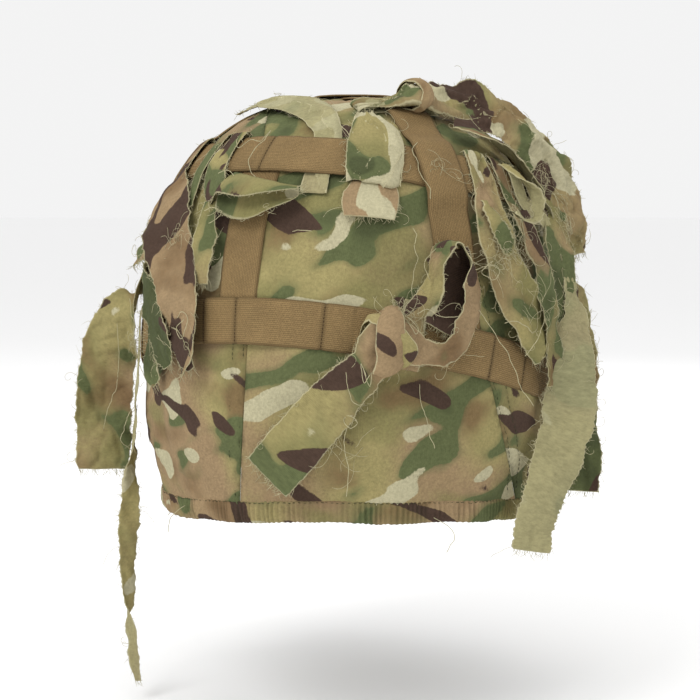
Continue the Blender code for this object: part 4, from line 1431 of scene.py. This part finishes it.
def strip_mesh(name, strip, run, pale):
    """The cloth of a torn strip with its two sides, and its frayed edges."""
    *shares, _, seed = strip_shares(strip)
    columns = int(np.clip(run.width.max() / MM / STRIP_COLUMN, *STRIP_COLUMNS)) | 1
    upper, lower, place, edge = strip_surface(run, strip, columns)
    rows = len(run.along)
    count = rows * columns
    faces = np.concatenate([grid_faces(rows, columns), grid_faces(rows, columns, count, False, True),
                            rim_faces(grid_rim(rows, columns), count)[:, ::-1]])
    sheet_faces = (rows - 1) * (columns - 1)
    slots = np.ones(len(faces), int)
    slots[sheet_faces:2 * sheet_faces] = 0
    if pale:
        slots[:2 * sheet_faces] = 1 - slots[:2 * sheet_faces]
    points = np.concatenate([upper.reshape(-1, 3), lower.reshape(-1, 3)])
    piece = new_piece(name + "_cloth", points, faces, [Cabinet.get("printed"), Cabinet.get("reverse")], slots)
    note(piece, "print", np.concatenate([place.reshape(-1, 3)] * 2))
    values = patched(strip, points, shares)
    note(piece, "share", values[:, :3])
    edges = np.concatenate([edge.reshape(-1)] * 2)
    note(piece, "edge", np.stack([edges, 0 * edges, values[:, 3]], axis=-1))
    facing_out(piece)
    frays = tube_piece(name + "_frays", fray_lines(run, upper, lower, seed), Cabinet.get("thread"))
    return piece, frays


def make_strip_piece(strip, pitch):
    """A torn strip with its frayed edges, the turns round its knot and the scraps that hang with it."""
    run = Run(strip, pitch)
    piece, *extras = strip_mesh(strip["name"], strip, run, strip.get("pale", False))
    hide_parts(strip["name"])
    # A scrap doesn't turn round the webbing, so its printed side is the other one
    for number, (owner, shares, rows) in enumerate(SCRAPS):
        if owner == strip["name"]:
            name = f"{owner}_scrap_{number}"
            scrap = {"name": name, "scrap": shares, "width": max(row[3] for row in rows),
                     "tail": [(*row, CLOTH / MM) for row in rows]}
            extras.extend(strip_mesh(name, scrap, Run(scrap, pitch), True))
    for number, (name, *turn) in enumerate(KNOT_TURNS):
        if name == strip["name"]:
            extras.append(make_knot_turn(run, name, number, *turn))
    area = float((np.diff(run.along) * (run.width[1:] + run.width[:-1]) / 2).sum())
    length = float(run.along[-1])
    if strip["name"] in MOUTHS:
        area += MOUTHS[strip["name"]] * 12 * MM
    wide = max(strip["width"] * MM, float(run.width.max()), area / length)
    share = min(1.0, max(0.3, area / (wide * length)))
    share * max(wide, 0.01) * length


def make_knot_turn(run, name, number, half_wide, half_deep, skew, width):
    """A turn of cloth round the thickest place of a strip."""
    thickest = int(run.thick.argmax())
    centre, ahead = run.centre[thickest], run.run[thickest]
    wide, deep = run.wide[thickest], run.deep[thickest]
    seed = seed_of(name) + number
    turn = np.linspace(0, 2 * math.pi, 81)[:-1]
    s = np.linspace(-1, 1, 17)
    ring = wide * (half_wide * np.cos(turn))[:, None] + deep * (half_deep * np.sin(turn))[:, None]
    ring = centre + (ring + ahead * (skew * np.cos(turn + number))[:, None]) * MM
    outward = unit(wide * (np.cos(turn) / half_wide)[:, None] + deep * (np.sin(turn) / half_deep)[:, None])
    half = width / 2 * (0.85 + 0.25 * wander(np.cos(turn) * 2, np.sin(turn) * 2, seed))
    ridge = width / 5.5 * (1 - s * s)
    ridge = ridge + 0.9 * creased(np.cos(turn)[:, None] * 2 + s, np.sin(turn)[:, None] * 2, seed + 1)
    layers = []
    for side in (1, -1):
        out = ridge + side * 0.3 - 0.4 * abs(s) ** 3
        reach = ahead * (s * half[:, None])[..., None] + outward[:, None] * out[..., None]
        layers.append((ring[:, None] + reach * MM).reshape(-1, 3))
    rows, columns = len(turn), len(s)
    count = rows * columns
    loops = np.arange(count).reshape(rows, columns)
    after = np.roll(loops, -1, axis=0)
    skin = np.stack([loops[:, :-1], after[:, :-1], after[:, 1:], loops[:, 1:]], axis=-1).reshape(-1, 4)
    first, last = np.stack([loops[:, 0], after[:, 0]], -1), np.stack([loops[:, -1], after[:, -1]], -1)
    edges = [np.concatenate([pair, pair[:, ::-1] + count], axis=1) for pair in (first, last[:, ::-1])]
    faces = np.concatenate([skin, skin[:, ::-1] + count, *edges])
    piece = new_piece(f"{name}_turn_{number}", np.concatenate(layers), faces, [Cabinet.get("printed")])
    facing_out(piece)
    place = np.zeros((rows, columns, 3))
    place[..., 0], place[..., 2], place[..., 1] = np.cos(turn)[:, None] * 0.02, s * 0.006, 0.1 * seed
    note(piece, "print", np.concatenate([place.reshape(-1, 3)] * 2))
    note(piece, "share", np.tile([-0.25, -0.03, -0.2], (2 * count, 1)))
    marks = np.zeros((rows, columns, 3))
    marks[..., 0], marks[..., 2] = (1 - abs(s)) * width / 2, 0.1
    note(piece, "edge", np.concatenate([marks.reshape(-1, 3)] * 2))
    return piece


def curls(rng, start, ahead, side, out, length, bend):
    """Thin curling fibres from their starts, an array of points by 3 for each direction."""
    count, steps = len(start), CURL_STEPS
    turning = rng.normal(0, bend * 0.5, (count, 1)) + rng.normal(0, bend, (count, steps)).cumsum(axis=1) * 0.3
    heading = rng.normal(0, 0.8, (count, 1)) + turning.cumsum(axis=1)
    swing = np.arange(steps) * rng.uniform(0.2, 0.7, (count, 1)) + rng.uniform(0, 6, (count, 1))
    raised = 0.35 + 0.35 * np.sin(swing)
    step = (ahead[:, None] * np.cos(heading)[..., None] + side[:, None] * np.sin(heading)[..., None]
            + out[:, None] * (raised * np.linspace(1, -0.4, steps))[..., None])
    walk = unit(step) * (length / steps)[:, None, None]
    return start[:, None] + np.concatenate([np.zeros((count, 1, 3)), walk.cumsum(axis=1)], axis=1)


def fray_lines(run, upper, lower, seed):
    """Short fibres along the torn edges, curls here and there, and longer fibres at the end."""
    rng = np.random.default_rng(seed)
    middle = (upper + lower) / 2
    groups = []
    total = run.along[-1]

    def sampled(values, at):
        return np.stack([np.interp(at, run.along, values[:, k]) for k in range(3)], axis=-1)

    for column, inner_column in ((0, 2), (-1, -2)):
        for spacing, curled in ((SIDE_PITCH, False), (CURL_PITCH, True)):
            at = np.sort(rng.uniform(0, total, int(total / spacing) + 1))
            at = at[np.interp(at, run.along, run.lift) > 2.4 * MM]
            if not len(at):
                continue
            root, ahead, deep = sampled(middle[:, column], at), sampled(run.run, at), sampled(run.deep, at)
            wide = unit(root - sampled(middle[:, inner_column], at))
            outer = deep * np.sign((deep * form_normal(towards(root))).sum(-1, keepdims=True))
            if curled:
                length = rng.uniform(5, 17, len(at)) * MM
                lines = curls(rng, root - wide * 0.4 * MM, wide, ahead, outer, length, 0.22)
                groups.append((lines, 0.12 * MM, FIBRE_SIDES))
                continue
            reach = np.clip(rng.lognormal(0.15, 0.6, len(at)), 0.4, 5.5)[:, None] * MM
            lean, bend = rng.normal(0, 0.8, (len(at), 1)), rng.normal(0, 0.6, (len(at), 1))
            lift = rng.normal(0.15, 0.4, (len(at), 1))
            t = np.linspace(0, 1, 4)[None, :, None]
            lines = root[:, None] - wide[:, None] * 0.5 * MM
            lines = lines + (wide[:, None] * t + ahead[:, None] * (lean[:, None] * t + bend[:, None] * t * t)
                             + outer[:, None] * lift[:, None] * t * t) * reach[:, None]
            groups.append((lines, rng.uniform(0.08, 0.13, len(at)) * MM, FIBRE_SIDES))
    count = max(6, int(run.width[-1] / MM * 1.3))
    column = rng.uniform(0, middle.shape[1] - 1, count).astype(int)
    reach = rng.uniform(1.5, 6.5, (count, 1)) * MM
    t = np.linspace(0, 1, 5)[None, :, None]
    sway = rng.normal(0, 0.45, (count, 1, 2))
    lines = middle[-1, column][:, None] + (run.run[-1] * (t - 0.15) + run.wide[-1] * sway[..., :1] * t * t
                                            + run.deep[-1] * sway[..., 1:] * t * t) * reach[:, None]
    groups.append((lines, rng.uniform(0.09, 0.14, count) * MM, FIBRE_SIDES))
    return groups


# ---------------------------------------------------------------- loose threads

# Long loose threads. Columns: name, then places: azimuth, polar, lift mm
LOOSE_THREADS = {
    "crown_curl": [(-43.8, 31.2, 7), (-39, 34.3, 7), (-35.5, 32.8, 7), (-29.8, 33.7, 7), (-29, 31.1, 7),
                   (-28.8, 31.7, 7), (-29, 33.8, 7), (-30.3, 34.9, 7), (-30.8, 38, 7), (-29.1, 40.2, 7),
                   (-25.9, 42, 7), (-24.6, 42.9, 7)],
    "flap_curl": [(-37.2, 41.2, 12), (-35, 40.8, 12), (-32, 41.7, 12), (-30.4, 43.4, 12), (-29.7, 44.8, 12),
                  (-27.9, 46.1, 12)],
    "flap_end": [(-14.3, 51, 9), (-11.8, 52.1, 9), (-9.5, 52.6, 9)],
    "wrap_drop": [(13.6, 31.6, 10), (13.8, 35.1, 10), (12.6, 39.2, 10), (10.7, 44.8, 10)],
    "wrap_bend": [(19.2, 34.6, 9), (16.5, 36.3, 9), (16.6, 39.4, 9), (17, 42.6, 9), (18.3, 44.6, 9),
                  (18.1, 46.5, 9)],
    "wrap_cross": [(13.2, 37.3, 9), (10.2, 40.8, 9), (6.8, 44.9, 9)],
    "middle_wave": [(13.6, 51.1, 3), (14.5, 52.4, 3), (13.5, 54.8, 3), (14.5, 56.6, 3), (13.6, 59, 3),
                    (12.9, 62.7, 3), (13.2, 65.5, 3)],
    "loop_wave": [(18.3, 55.1, 8), (15.8, 56.8, 8), (15.1, 58.6, 8), (15.9, 60.5, 8), (17.1, 62.5, 8)],
    "crown_fall": [(-6.5, 26.8, 10), (-4.7, 31, 10), (-2.2, 33.7, 10)],
    "knot_loops": [(2.1, 79.4, 19), (1.3, 76.9, 19), (1.7, 80.5, 19), (2.8, 78.4, 19), (2.5, 80.9, 19),
                   (1.2, 77.6, 19)],
    "knot_top": [(5.3, 66.6, 17), (7.2, 66.2, 17), (9.6, 67.6, 17), (11.9, 70.1, 17), (11.5, 71, 17),
                 (9.9, 68.7, 17), (8.4, 66.9, 17), (9.7, 69.7, 17), (11.1, 71.1, 17)],
    "knot_side": [(11.8, 67.4, 17), (13.6, 66.7, 17), (16.1, 67.8, 17), (19.1, 67.6, 17)],
    "tail_bend": [(-1.7, 78.5, 14), (-1.1, 81.7, 14), (-0.3, 84.6, 14), (1, 85.4, 14), (2.2, 85, 14)],
    "tail_curl": [(-5, 87.5, 9), (-3, 87.1, 9), (-0.5, 88.1, 9), (0.7, 89.5, 9), (-0.9, 90.3, 9),
                  (-2.4, 88.7, 9), (-0.5, 87.5, 9)],
    "tail_line": [(1.3, 85.5, 8), (-0.5, 88.7, 8), (-2.2, 92.8, 8), (-1.2, 98.9, 8), (-1.6, 104.8, 8)],
    "cloth_line": [(14.1, 81.1, 3), (14.3, 84.5, 3), (15.4, 88.8, 3), (16.4, 92.7, 3), (17.3, 95.8, 3)],
    "right_line": [(30.1, 69, 20), (35.5, 69.2, 20), (43.3, 71, 20)],
    "right_cross": [(44.9, 67.6, 20), (40.1, 72.4, 20), (35.6, 76.1, 20)],
    "right_long": [(29.2, 66.9, 20), (30.7, 71.3, 20), (32.8, 76.4, 20), (34.9, 82.8, 20), (37.8, 87, 20)],
    "right_tuft": [(27.2, 59, 16), (31.4, 58.2, 16), (32.5, 59.6, 16), (29.5, 61, 16), (26.6, 59.7, 16),
                   (30.1, 57.5, 16)],
    "right_fall": [(74.3, 42.4, 14), (70.3, 46.5, 14), (81, 48.3, 14), (66.3, 50.5, 14), (61.6, 48.7, 14)],
    "ear_cross": [(-49.8, 88, 26), (-54, 91.1, 26), (-60, 95.8, 26), (-69.5, 99.4, 26), (-79.7, 103, 26)],
    "front_curl": [(-42.2, 68.2, 14), (-39.6, 67.2, 14), (-38, 69.5, 14), (-39.7, 72.3, 14),
                   (-41.3, 70.4, 14), (-38.8, 68.4, 14)],
    "front_fall": [(-68.1, 64.5, 15), (-62.5, 70.6, 15), (-62.8, 79.3, 15), (-58.9, 86.1, 15)],
    "flap_left": [(-39.3, 47.8, 10), (-36.3, 47.4, 10), (-33.3, 48.1, 10), (-34.1, 49.4, 10),
                  (-36.4, 50, 10)],
    "left_side": [(-72, 70, 20), (-74, 84, 18), (-80, 92, 24), (-84, 98, 27)],
    "hem_left": [(-52, 112.5, 2), (-53, 115, 3), (-51, 118, 4)],
    "hem_front": [(20, 111.5, 2), (23, 114, 3), (20, 117, 4)],
    "back_fall": [(150, 48, 7), (154, 56, 6), (150, 63, 7), (153, 70, 6)],
    "back_curl": [(-140, 88, 8), (-143, 92, 9), (-139, 97, 9), (-136, 94, 9)],
}


# Tangles of torn fibres. Columns: azimuth, polar, lift mm, number of fibres, spread mm, length mm
TANGLES = [
    (62, 41, 17, 28, 11, 20),
    (66, 50, 16, 22, 9, 18),
    (32, 57, 14, 16, 9, 18),
    (40, 56, 13, 20, 12, 22),
    (44, 66, 15, 16, 12, 20),
    (-50, 52, 9, 16, 7, 16),
    (9, 66, 15, 22, 6, 15),
    (-66, 74, 12, 18, 8, 16),
    (24, 40, 5, 10, 8, 18),
    (-2, 96, 8, 8, 6, 18),
]


def tangle_lines(rng, azimuth, polar, lift, number, spread, length):
    """Curled fibres that start round one place over the cover."""
    n = direction(np.full(number, float(azimuth)), np.full(number, float(polar)))
    down, side = tangents(n)
    normal = form_normal(n)
    away = rng.normal(0, spread / 2, (number, 3)) * MM
    start = on_form(n, np.full(number, lift * MM)) + down * away[:, :1] + side * away[:, 1:2]
    start = start + normal * away[:, 2:] * 0.3
    turn = rng.uniform(0, 2 * math.pi, (number, 1))
    ahead = down * np.cos(turn) + side * np.sin(turn)
    across = side * np.cos(turn) - down * np.sin(turn)
    return curls(rng, start, ahead, across, normal, rng.uniform(0.5, 1.2, number) * length * MM, 0.25)


def thread_line(rows, seed):
    """A smooth loose line through places over the cover, with small kinks."""
    rows = np.array(rows, float)
    places = on_form(direction(rows[:, 0], rows[:, 1]), rows[:, 2] * MM)
    chords = np.linalg.norm(np.diff(places, axis=0), axis=1)
    knots = np.concatenate([[0], np.cumsum(np.sqrt(chords))])
    slopes = np.gradient(places, knots, axis=0)
    t = np.linspace(0, knots[-1], THREAD_STEPS)
    i = np.clip(np.searchsorted(knots, t, side="right") - 1, 0, len(knots) - 2)
    h = (knots[i + 1] - knots[i])[:, None]
    u = ((t - knots[i]) / h[:, 0])[:, None]
    s = u * u * (3 - 2 * u)
    line = places[i] + (places[i + 1] - places[i]) * s
    line = line + h * u * (1 - u) * (slopes[i] * (1 - u) - slopes[i + 1] * u)
    length = np.concatenate([[0], np.cumsum(np.linalg.norm(np.diff(line, axis=0), axis=1))]) / MM
    kinks = [wander(length / 6, k, seed) + 0.35 * wander(length / 2.2, k + 5, seed) for k in range(3)]
    return line + np.stack(kinks, axis=-1) * 0.55 * MM


def surface_tree():
    """A search tree over the vertices of every cloth and webbing piece made so far."""
    pieces = [piece for piece in bpy.data.objects
              if piece.type == "MESH" and piece.name.endswith(("_cloth", "_woven", "cover_hem"))]
    tree = KDTree(sum(len(piece.data.vertices) for piece in pieces))
    count = 0
    for piece in pieces:
        for vertex in piece.data.vertices:
            tree.insert(piece.matrix_world @ vertex.co, count)
            count += 1
    tree.balance()
    return tree


def anchored(line, tree, touch=0.6 * MM):
    """A loose line whose nearer end is brought onto the piece below it, unless it already touches one."""
    line = np.array(line)
    if min(tree.find(place)[2] for place in line[::3]) <= touch:
        return line
    first, last = tree.find(line[0]), tree.find(line[-1])
    if last[2] < first[2]:
        line, first = line[::-1], last
    share = np.linspace(1, 0, len(line))[:, None] ** 2
    return line + (np.array(first[0]) - line[0]) * share


# ---------------------------------------------------------------- settings and operators

def colour_setting(name, description, default):
    return FloatVectorProperty(name=name, description=description, default=default, subtype="COLOR", size=3,
                               min=0, max=1)


class ClothSettings(bpy.types.PropertyGroup):
    tan: colour_setting("Tan", "Warm ground of the print", (0.57, 0.485, 0.365))
    khaki: colour_setting("Khaki", "Cool ground of the print", (0.575, 0.535, 0.36))
    olive: colour_setting("Olive", "Soft green shading", (0.475, 0.46, 0.295))
    green: colour_setting("Green", "Hard green patches", (0.355, 0.38, 0.25))
    dark_green: colour_setting("Dark green", "Darkest of the green patches", (0.23, 0.25, 0.165))
    brown: colour_setting("Brown", "Soft brown shading", (0.44, 0.35, 0.245))
    dark_brown: colour_setting("Dark brown", "Hard brown patches", (0.28, 0.22, 0.185))
    cream: colour_setting("Cream", "Pale spots of the print", (0.68, 0.655, 0.535))
    reverse: colour_setting("Reverse", "Unprinted side of the cloth", (0.6, 0.58, 0.44))
    thread: colour_setting("Thread", "Torn threads", (0.73, 0.70, 0.56))
    columns: IntProperty(name="Columns", description="Mesh columns round the cover", default=400, min=60,
                         max=600)
    rows: IntProperty(name="Rows", description="Mesh rows from crown to hem", default=120, min=20, max=200)
    gathers: IntProperty(name="Hem columns", description="Mesh columns round the hem", default=1300, min=200,
                         max=1600)


class WebbingSettings(bpy.types.PropertyGroup):
    colour: colour_setting("Webbing", "Colour of the webbing", (0.56, 0.465, 0.315))
    stitch_colour: colour_setting("Cover stitches", "Thread of the seams and hem", (0.24, 0.25, 0.16))
    tack_colour: colour_setting("Tack stitches", "Thread that tacks the webbing down", (0.30, 0.22, 0.15))
    rib_spacing: FloatProperty(name="Rib spacing", description="Distance between the ribs", default=1.05 * MM,
                               min=0.4 * MM, max=4 * MM, unit="LENGTH")


class StripSettings(bpy.types.PropertyGroup):
    pitch: FloatProperty(name="Row pitch", description="Distance between the rows of a strip's mesh",
                         default=1.25 * MM, min=0.6 * MM, max=10 * MM, unit="LENGTH")
    thread_radius: FloatProperty(name="Thread radius", description="Radius of the long loose threads",
                                 default=0.19 * MM, min=0.05 * MM, max=1 * MM, unit="LENGTH")


class StageSettings(bpy.types.PropertyGroup):
    floor: colour_setting("Floor", "Colour of the floor", (0.99, 0.99, 0.99))
    floor_reach: FloatProperty(name="Floor reach", description="From the middle of the floor to its edge",
                               default=40, min=1, max=100, unit="LENGTH")
    distance: FloatProperty(name="Camera distance", description="From the camera to the cover's middle",
                            default=1.0247, min=0.3, max=5, unit="LENGTH")
    elevation: FloatProperty(name="Camera height", description="Angle of the camera above the horizon",
                             default=math.radians(5), min=-1.5, max=1.5, subtype="ANGLE")


class COVER_OT_panels(bpy.types.Operator):
    """Make the cover's three panels, its gathered hem and its stitches"""
    bl_idname = "cover.panels"
    bl_label = "Cover panels"

    def execute(self, context):
        cloth = context.scene.cover_cloth
        # Seams it ends at with the side that is kept, shift of its print, flat size in metres
        panels = {
            "panel_left": ([(LEFT_SEAM, -1)], (0.07, 0.21, 0.055), (0.23, 0.36)),
            "panel_centre": ([(LEFT_SEAM, 1), (RIGHT_SEAM, -1)], (0.0, 0.0, 0.0), (0.18, 0.60)),
            "panel_right": ([(RIGHT_SEAM, 1)], (0.33, 0.11, 0.27), (0.22, 0.38)),
        }
        rows = [(lines, STITCH_RADIUS, STITCH_SIDES) for lines in (hem_stitches(), seam_stitches())]
        stitches = tube_piece("cover_stitches", rows, Cabinet.get("stitch"))
        hem = make_hem(cloth.gathers)
        facing_out(hem)
        for name, (cuts, shift, flat) in panels.items():
            piece = make_panel(name + "_cloth", cuts, cloth.columns, cloth.rows, shift)
            facing_out(piece)
            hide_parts(name)
            0.8 * flat[0] * flat[1]
        return {"FINISHED"}


class COVER_OT_webbing(bpy.types.Operator):
    """Make the cage of elastic webbing with its tack stitches"""
    bl_idname = "cover.webbing"
    bl_label = "Webbing cage"

    def execute(self, context):
        stitches = []
        for name, (azimuth, first, second, crown_lift) in STRAPS.items():
            humps = strip_humps(name)
            if crown_lift is None:
                far = strap_end(first, azimuth, -1)
            else:
                far = -strap_end(first, azimuth + 180)
                humps.append((on_form(np.array([0, 0, 1.0]), 0.0), CROWN_CROSSING, crown_lift * MM))
                for turn in (azimuth, azimuth + 180):
                    humps.append((on_form(on_ring("ring_upper", turn), 0.0), HALF_CROSSING,
                                  lift_over("ring_upper", turn)))
            near = strap_end(second, azimuth)
            count = int(math.radians(near - far) * CROWN_RISE / STRAP_PITCH)
            n = direction(np.full(count, float(azimuth)), np.linspace(far, near, count))
            lift = climb(on_form(n, np.zeros(count)), humps)
            stitches += band_piece(name, n, lift, False, [])
        for ring in RINGS:
            count = RING_STATIONS
            n = on_ring(ring, np.arange(count) * 360 / count)
            lift = climb(on_form(n, np.zeros(count)), ring_humps(ring))
            places = [int(round(at % 360 * count / 360)) % count for at in TACKS[ring]]
            stitches += band_piece(ring, n, lift, True, places)
        tacks = tube_piece("webbing_tacks", [(np.array(stitches), TACK_RADIUS, STITCH_SIDES)],
                           Cabinet.get("web_stitch"))
        return {"FINISHED"}


class COVER_OT_strips(bpy.types.Operator):
    """Make the torn strips with their frayed edges"""
    bl_idname = "cover.strips"
    bl_label = "Torn strips"

    def execute(self, context):
        for strip in STRIPS:
            make_strip_piece(strip, context.scene.cover_strips.pitch)
        return {"FINISHED"}


class COVER_OT_threads(bpy.types.Operator):
    """Make the long loose threads"""
    bl_idname = "cover.threads"
    bl_label = "Loose threads"

    def execute(self, context):
        radius = context.scene.cover_strips.thread_radius
        tree = surface_tree()
        lines = [anchored(thread_line(rows, seed_of(name)), tree) for name, rows in LOOSE_THREADS.items()]
        rng = np.random.default_rng(41)
        tangles = np.concatenate([tangle_lines(rng, *row) for row in TANGLES])
        tangles = np.array([anchored(fibre, tree) for fibre in tangles])
        groups = [(np.array(lines), radius, 5), (tangles, radius * 0.6, FIBRE_SIDES)]
        threads = tube_piece("loose_threads", groups, Cabinet.get("thread"))
        return {"FINISHED"}


class COVER_OT_stage(bpy.types.Operator):
    """Make the floor, the lights and the camera"""
    bl_idname = "cover.stage"
    bl_label = "Stage"

    def execute(self, context):
        settings = context.scene.cover_stage
        low = PACKED_BOX[0][2] - FLOOR_DROP
        shading = Shading("floor", 0.9, 0.1)
        shading.shader.inputs["Base Color"].default_value = linear(settings.floor)
        mesh = bpy.data.meshes.new("floor")
        reach = settings.floor_reach
        corners = ((-reach, -reach), (reach, -reach), (reach, reach), (-reach, reach))
        mesh.from_pydata([(x, y, low) for x, y in corners], [], [(0, 1, 2, 3)])
        mesh.materials.append(shading.material)
        floor = bpy.data.objects.new("floor", mesh)
        bpy.context.collection.objects.link(floor)
        for name, place, aim, size, power in LAMPS:
            data = bpy.data.lights.new(name, "AREA")
            data.shape, data.size, data.energy = "SQUARE", size, power
            lamp = bpy.data.objects.new(name, data)
            bpy.context.collection.objects.link(lamp)
            lamp.location = place
            aim_at(lamp, aim)
        world = bpy.data.worlds.new("studio")
        world.use_nodes = True
        background = world.node_tree.nodes["Background"]
        background.inputs["Color"].default_value = (1, 1, 1, 1)
        background.inputs["Strength"].default_value = WORLD_STRENGTH
        context.scene.world = world
        camera = bpy.data.objects.new("camera", bpy.data.cameras.new("camera"))
        camera.data.lens, camera.data.sensor_width = LENS, SENSOR
        bpy.context.collection.objects.link(camera)
        target = np.array([-2.5 * MM, 0, FORM_CENTRE[2] + 27.5 * MM])
        away = np.array([0, -math.cos(settings.elevation), math.sin(settings.elevation)]) * settings.distance
        camera.location = target + away
        aim_at(camera, target)
        context.scene.camera = camera
        context.scene.view_settings.view_transform = "Standard"
        return {"FINISHED"}


def aim_at(thing, target):
    """Turn a light or the camera towards a point."""
    thing.rotation_euler = (Vector(target) - thing.location).to_track_quat("-Z", "Y").to_euler()


class COVER_PT_panel(bpy.types.Panel):
    """Lists the cover's operators and settings"""
    bl_idname = "COVER_PT_panel"
    bl_label = "Scrim helmet cover"
    bl_space_type = "VIEW_3D"
    bl_region_type = "UI"
    bl_category = "Cover"

    def draw(self, context):
        for operator in OPERATORS:
            self.layout.operator(operator.bl_idname)
        for key in SETTINGS:
            group = getattr(context.scene, key)
            for name in group.__annotations__:
                self.layout.prop(group, name)


OPERATORS = (COVER_OT_panels, COVER_OT_webbing, COVER_OT_strips, COVER_OT_threads, COVER_OT_stage)
SETTINGS = {
    "cover_cloth": ClothSettings,
    "cover_webbing": WebbingSettings,
    "cover_strips": StripSettings,
    "cover_stage": StageSettings,
}


def register():
    for group in SETTINGS.values():
        bpy.utils.register_class(group)
    for key, group in SETTINGS.items():
        setattr(bpy.types.Scene, key, PointerProperty(type=group))
    for thing in (*OPERATORS, COVER_PT_panel):
        bpy.utils.register_class(thing)


def unregister():
    for thing in (COVER_PT_panel, *reversed(OPERATORS)):
        bpy.utils.unregister_class(thing)
    for key, group in SETTINGS.items():
        delattr(bpy.types.Scene, key)
        bpy.utils.unregister_class(group)


def main():
    register()
    bpy.ops.cover.panels()
    bpy.ops.cover.webbing()
    bpy.ops.cover.strips()
    bpy.ops.cover.threads()
    bpy.ops.cover.stage()


if __name__ == "__main__":
    main()
